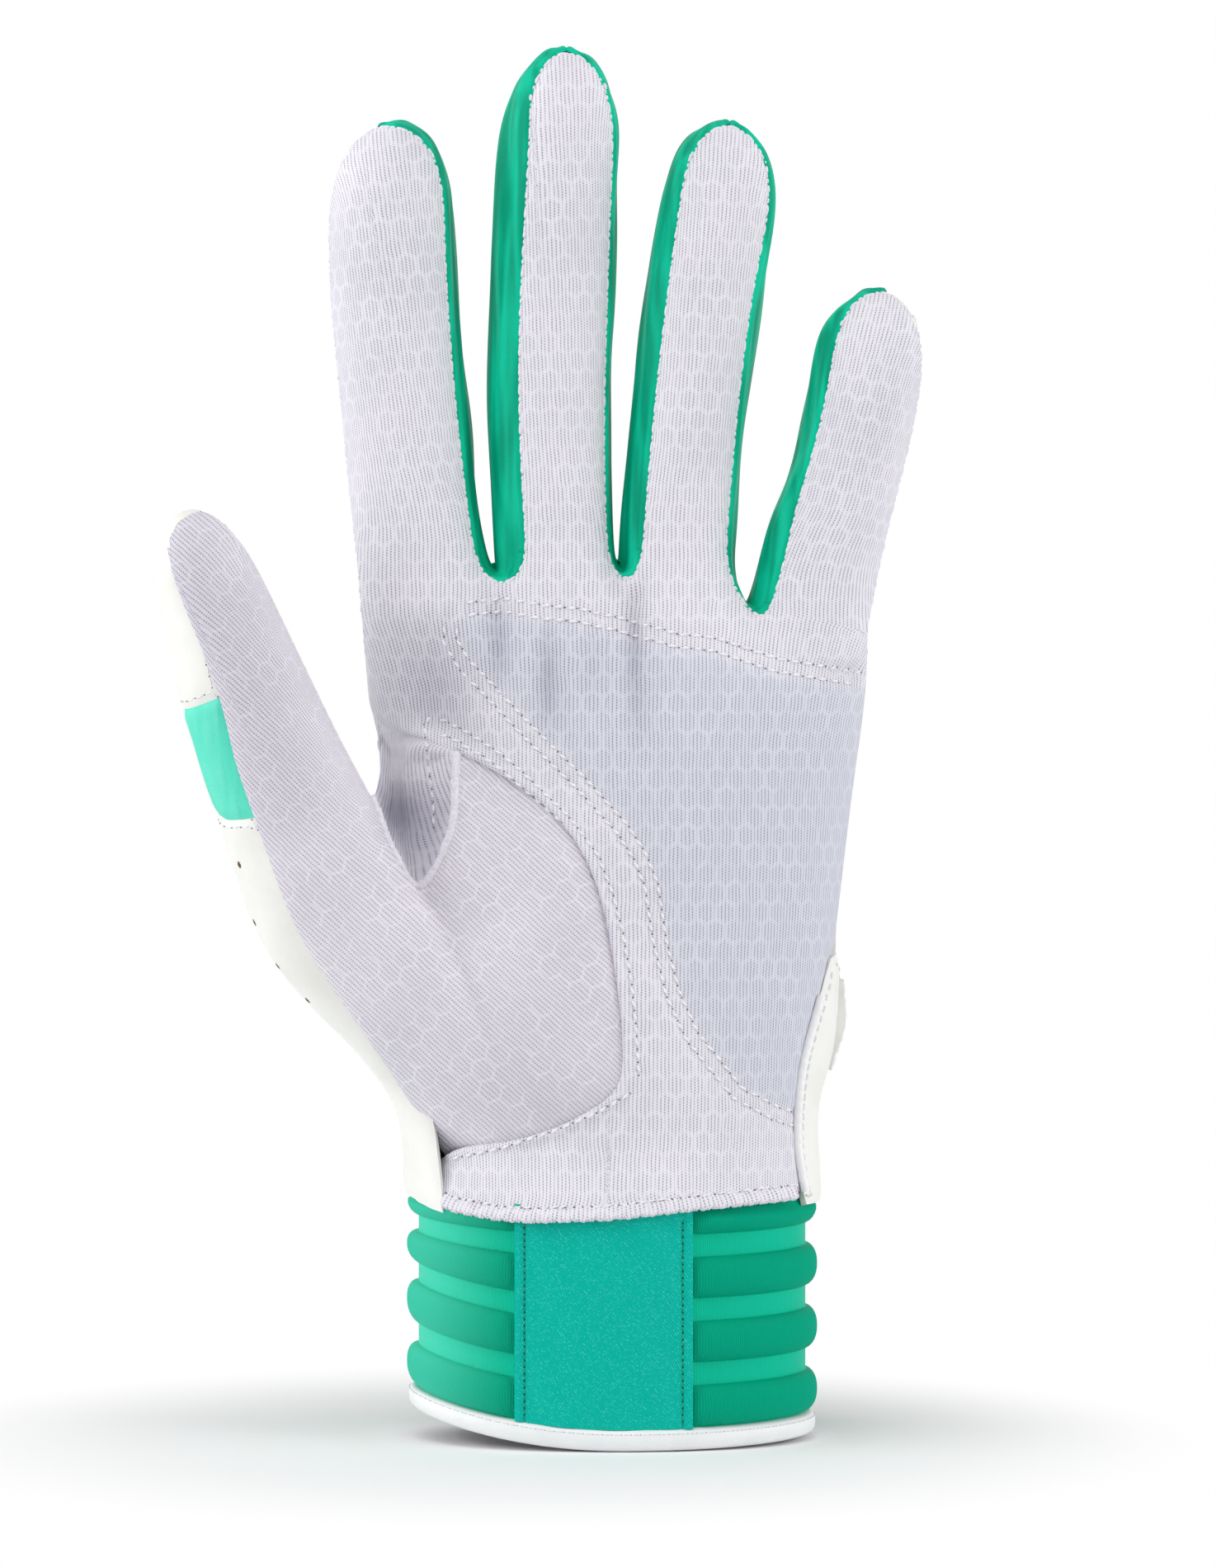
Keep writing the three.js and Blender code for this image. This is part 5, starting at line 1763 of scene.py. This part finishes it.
def front_row(line, pitch, names):
    """Places, runs and normals of stitches along a line on the flat front, in millimetres."""
    row = []
    for (x, z), (dx, dz) in zip(*even_steps(line, pitch)):
        place, normal = skin_at(Vector((x, -100, z)) * MM, BACK, names)
        if place is not None:
            row.append((place, Vector((dx, 0, dz)), normal))
    return row


def seam_row(name, inset, pitch, keep=None):
    """Places, runs and normals of stitches along a sheet's border, an inset in from it."""
    row = []
    for ring, inwards, _ in borders[name]:
        inwards = inwards / np.linalg.norm(inwards, axis=1)[:, None]
        line = np.concatenate([ring + inwards * inset * MM, ring[:1] + inwards[:1] * inset * MM])
        for point, run in zip(*even_steps(line, pitch * MM)):
            place, normal, _, _ = surfaces[name].find_nearest(Vector(point))
            if keep is None or keep(*(place / MM)):
                row.append((place, Vector(run), normal))
    return row


print("rows lie on the flat front or along a border")

# %% Beads along a row
stitch_count = Counter()


def bead_row(row, size, lift=0.0, turn=0.0, shift=0.0):
    """The points of a bead at each place: its length, width and height in millimetres."""
    all_points = []
    for place, run, normal in row:
        run = (run - normal * run.dot(normal)).normalized()
        side = normal.cross(run)
        along = run * math.cos(turn) + side * math.sin(turn)
        axes = np.array([along, normal.cross(along), normal])
        middle = np.array(place + run * shift * MM + normal * lift * MM)
        all_points.append(middle + (bead_points * np.array(size) * MM) @ axes)
    return all_points


def stitches(name, beads, finish, body="hand"):
    """One piece from all the beads of some rows."""
    points = np.concatenate(beads)
    count = len(bead_points)
    faces = [[index + copy * count for index in face] for copy in range(len(beads)) for face in bead_faces]
    mesh = bpy.data.meshes.new(name)
    mesh.from_pydata(points.tolist(), [], faces)
    piece = new_object(name, mesh)
    bpy.ops.object.shade_smooth()
    mesh.materials.append(finish)
    attach(piece, body)
    stitch_count[name] = len(beads)


print("each row of beads becomes one piece")

# %% Palm stitches
THREAD = (1.35, 0.46, 0.5)
HOLE = (0.36, 0.34, 0.12)
STITCH = 2.05
HOLE_AHEAD = 1.02
BALL_SEAM = [(-16.1, 115.9), (-12, 113.9), (-8.5, 111.8), (-6.5, 110.5), (-2.8, 107.5), (2, 102.8),
             (5.2, 99.7), (9.5, 94), (11.8, 88), (13.4, 82), (14.8, 74), (15.6, 66), (16, 58.5)]
BALL_SEAM_LOW = [(-16.1, 113.3), (-13.2, 112.2), (-9.4, 110), (-5.9, 107.6), (-0.6, 103.2), (4.3, 98.9)]
WEB_SEAM = [(-17.2, 116.4), (-18.3, 114.6), (-18, 112.6), (-17.8, 110.9), (-17.6, 108.8), (-17.2, 105.8),
            (-16.7, 102), (-16.7, 99.1)]
WRIST_SEAM = [(-14, 45.6), (-6, 47.6), (2, 50.2), (9, 53.2), (14, 56)]
palm_lines = [(line, ("palm", "thumb")) for line in (*pad_rows, BALL_SEAM, BALL_SEAM_LOW, WRIST_SEAM)]
palm_lines.append((WEB_SEAM, ("palm", "thumb", "web")))
threads, holes = [], []
for line, names in palm_lines:
    row = front_row(line, STITCH, names)
    threads += bead_row(row, THREAD, 0.1, turn=0.25)
    holes += bead_row(row, HOLE, 0.02, shift=HOLE_AHEAD)
stitches("palm_stitch_thread", threads, white_thread)
stitches("palm_needle_holes", holes, needle_hole)

print("palm:", dict(stitch_count))

# %% Fuzzy knit edges
EDGE_BUMPS = [(1.5, 0.8, 0.6), (1.0, 0.6, 0.5), (1.9, 0.7, 0.5)]
edge_row = {finger: [] for finger in FINGERS}
for spot in seam_row("palm", 0.3, 1.05, lambda x, y, z: z > 132):
    across = [abs(on_finger(finger, np.array(spot[0]))[0]) for finger in FINGERS]
    edge_row[FINGERS[int(np.argmin(across))]].append(spot)
for finger, row in edge_row.items():
    bumps = []
    for k, size in enumerate(EDGE_BUMPS):
        bumps += bead_row(row[k::3], size, -0.05, shift=0.2 * k)
    stitches(f"{finger}_knit_edge", bumps, knit_thread, body=finger)
print("knit edges:", sum(map(len, edge_row.values())), "bumps")

# %% [markdown]
# ## Cuff and hem stitches
#
# The satin panel is held by a row of green thread beside each upright edge, and the binding by a
# row of short dashes near its top. The knit's cut edge is tacked down with a close zigzag, which
# leaves a soft, fuzzy line.

# %% Cuff stitches
PANEL_THREAD = (0.8, 0.36, 0.3)
PANEL_HOLE = (0.4, 0.42, 0.14)
PANEL_STITCH = 1.08
DASH = (1.0, 0.22, 0.2)
DASH_HOLE = (0.3, 0.2, 0.1)
DASH_UP = 2.8


def cuff_row(angles, out, heights):
    """Places, runs and normals along a path round the cuff."""
    path = on_cuff(angles, out, heights)
    around = on_cuff(angles + 0.01, out, heights) - on_cuff(angles - 0.01, out, heights)
    runs = np.gradient(path, axis=0)
    normals = np.cross(around, [0, 0, 1])
    return [(Vector(p), Vector(r), Vector(n).normalized()) for p, r, n in zip(path, runs, normals)]


threads, holes = [], []
up = np.arange(CUFF_LOW + 0.6, CUFF_TOP - 3, PANEL_STITCH)
for side in (-1, 1):
    angle = np.full(len(up), LABEL_TURN + side * (LABEL_HALF - LABEL_FOLD / LABEL_RADIUS))
    row = cuff_row(angle, folded(angle, up), up)
    threads += bead_row(row, PANEL_THREAD, 0.05)
    holes += bead_row(row, PANEL_HOLE, 0.03, shift=PANEL_STITCH / 2)
stitches("label_stitch_thread", threads, green_thread)
stitches("label_needle_holes", holes, green_hole)

dashes = even_angles(-math.pi, math.pi, 118)[:-1]
row = cuff_row(dashes, 0 * dashes + BINDING_OUT - 0.1, 0 * dashes + DASH_UP)
stitches("binding_stitch_thread", bead_row(row, DASH), knit_thread)
stitches("binding_needle_holes", bead_row(row, DASH_HOLE, shift=0.72), pale_hole)
print("cuff:", len(threads), "stitches on the panel,", len(dashes), "on the binding")

# %% Hem stitches
TACK = (0.7, 0.34, 0.3)
HEM_THREAD = (1.3, 0.36, 0.3)
HEM_HOLE = (0.5, 0.36, 0.12)
# How many tacks a row has, how far up from the edge it is, and how far each tack is turned.
TACK_ROWS = [(150, 0.12, 1.2), (131, 0.3, 1.9)]
surfaces["hem"] = BVHTree.FromPolygons([vert.co.copy() for vert in hem.data.vertices],
                                       [face.vertices[:] for face in hem.data.polygons])


def hem_row(count, up):
    """Stitches along the hem, up from its edge in millimetres."""
    row = []
    angles = even_angles(HEM_FROM + 0.02, HEM_TO - 0.02, count)
    edge = np.interp(on_cuff(angles, HEM_OUT, 0 * angles)[:, 0] / MM, HEM_X, HEM_Z)
    path = on_cuff(angles, HEM_OUT, edge + up, lifted=False)
    for (_, way, normal), spot in zip(cuff_row(angles, 0 * angles + HEM_OUT, edge), path):
        place, lie = skin_at(Vector(spot) + normal * 0.01, -normal, ["hem"])
        if place is not None:
            row.append((place, way, lie))
    return row


tacks = []
for count, up, turn in TACK_ROWS:
    tacks += bead_row(hem_row(count, up), TACK, turn=turn)
stitches("hem_zigzag_thread", tacks, knit_thread)
row = hem_row(44, 2.25)
stitches("hem_needle_holes", bead_row(row, HEM_HOLE, 0.02), needle_hole)
stitches("hem_stitch_thread", bead_row(row, HEM_THREAD, shift=1.1), white_thread)
print("hem:", len(tacks), "tacks and", len(row), "stitches")

# %% [markdown]
# ## Back stitches and vents
#
# The strap, its anchor and the leather panels are edged with a row of stitches. On the thumb only the
# hems beside the stretch insert show one. The leather is punched with a few small vents, whose
# cut edges are brown.

# %% Back stitches
STRAP_THREAD = (1.35, 0.34, 0.3)
BACK_THREAD = (1.5, 0.3, 0.24)
THUMB_THREAD = (1.2, 0.3, 0.24)
THUMB_HOLE = (0.3, 0.3, 0.12)
DIMPLE = (1.2, 0.55, 0.16)


def by_palm_edge(x, y, z):
    return palm_border.find(Vector((x, y, z)) * MM)[2] < 2.9 * MM


row = seam_row("closure_strap", 1.5, 2.0)
stitches("strap_stitch_thread", bead_row(row, STRAP_THREAD), white_thread, body="strap")
row = seam_row("strap_anchor", 1.2, 2.0)
stitches("anchor_stitch_thread", bead_row(row, STRAP_THREAD), white_thread)
for name, body in [("back_panel", "hand"), ("back_side_panel", "hand"), ("thumb_back", "thumb"),
                   *((f"{finger}_back_strip", finger) for finger in FINGERS)]:
    row = seam_row(name, 1.5, 2.3)
    stitches(f"{name}_stitch_thread", bead_row(row, BACK_THREAD, -0.02), white_thread, body=body)
for name, keep in (("thumb_side_tip", lambda x, y, z: z < 125), ("thumb_outside", lambda x, y, z: z > 96)):
    row = seam_row(name, 1.3, 1.9, keep)
    stitches(f"{name}_stitch_thread", bead_row(row, THUMB_THREAD), white_thread, body="thumb")
    holes = bead_row(row, THUMB_HOLE, 0.02, shift=0.95)
    stitches(f"{name}_needle_holes", holes, needle_hole, body="thumb")
# Painted shade: the dimples beside the piping are small greyer beads.
row = seam_row("wrist_side_panel", 1.5, 2.1, by_palm_edge)
stitches("side_piping_dimples", bead_row(row, DIMPLE), dimple)
print("back, thumb and wrist:", len(stitch_count), "rows so far")

# %% Vents
VENTS = [(-47.3, 92.5), (-45.1, 83.3), (-41.5, 76.3), (-36.8, 70.8)]
VENT_EDGE = (1.3, 1.0, 0.16)
VENT_HOLE = (0.85, 0.6, 0.2)
vents = []
for x, z in VENTS:
    place, normal = skin_at(Vector((x, -100, z)) * MM, BACK, ["thumb_outside"])
    if place is not None:
        vents.append((place, Vector(UP), normal))
stitches("vent_edges", bead_row(vents, VENT_EDGE), vent_edge, body="thumb")
stitches("vent_holes", bead_row(vents, VENT_HOLE), vent_hole, body="thumb")
print(len(vents), "vents;", sum(stitch_count.values()), "stitches and holes in all")

# %% [markdown]
# ## Flat sizes of the sheets
#
# Every panel was cut flat before it was sewn. Its width and length are how far it reaches across and
# along its own weave, and the cut's area is half of the closed sheet's surface; these are worked out
# for each sheet. The pad and the cuff's band are padded, and are left out.

# %% Flat sizes of the sheets
LEAST_CUT = 10
LEAST_FILLED = 0.32


def cut_size(piece):
    """A panel's flat width and length, and its area, in metres."""
    cloth = np.array([item.vector for item in piece.data.attributes["cloth"].data])
    area = sum(face.area for face in piece.data.polygons) / 2
    wide, tall = np.maximum(np.ptp(cloth[:, :2], axis=0), LEAST_CUT) * MM
    tall = tall * max(1, area / (wide * tall))
    return wide, min(tall, area / LEAST_FILLED / wide), area


sheets = [node for parts in parts_of.values() for node, _ in parts]
sheets += ["thumb_web", "cuff_label", "cuff_lining"]
for node in sheets:
    wide, tall, area = cut_size(pieces[node])
print(len(sheets), "sheets and 2 padded pieces")

# %% [markdown]
# ## Sizes
#
# The imported box and the dressed box are put side by side, so that they can be compared.

# %% Sizes
boxes = {"cad": cad_box, "visual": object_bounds()}
{name: [list(map(float, corner)) for corner in box] for name, box in boxes.items()}
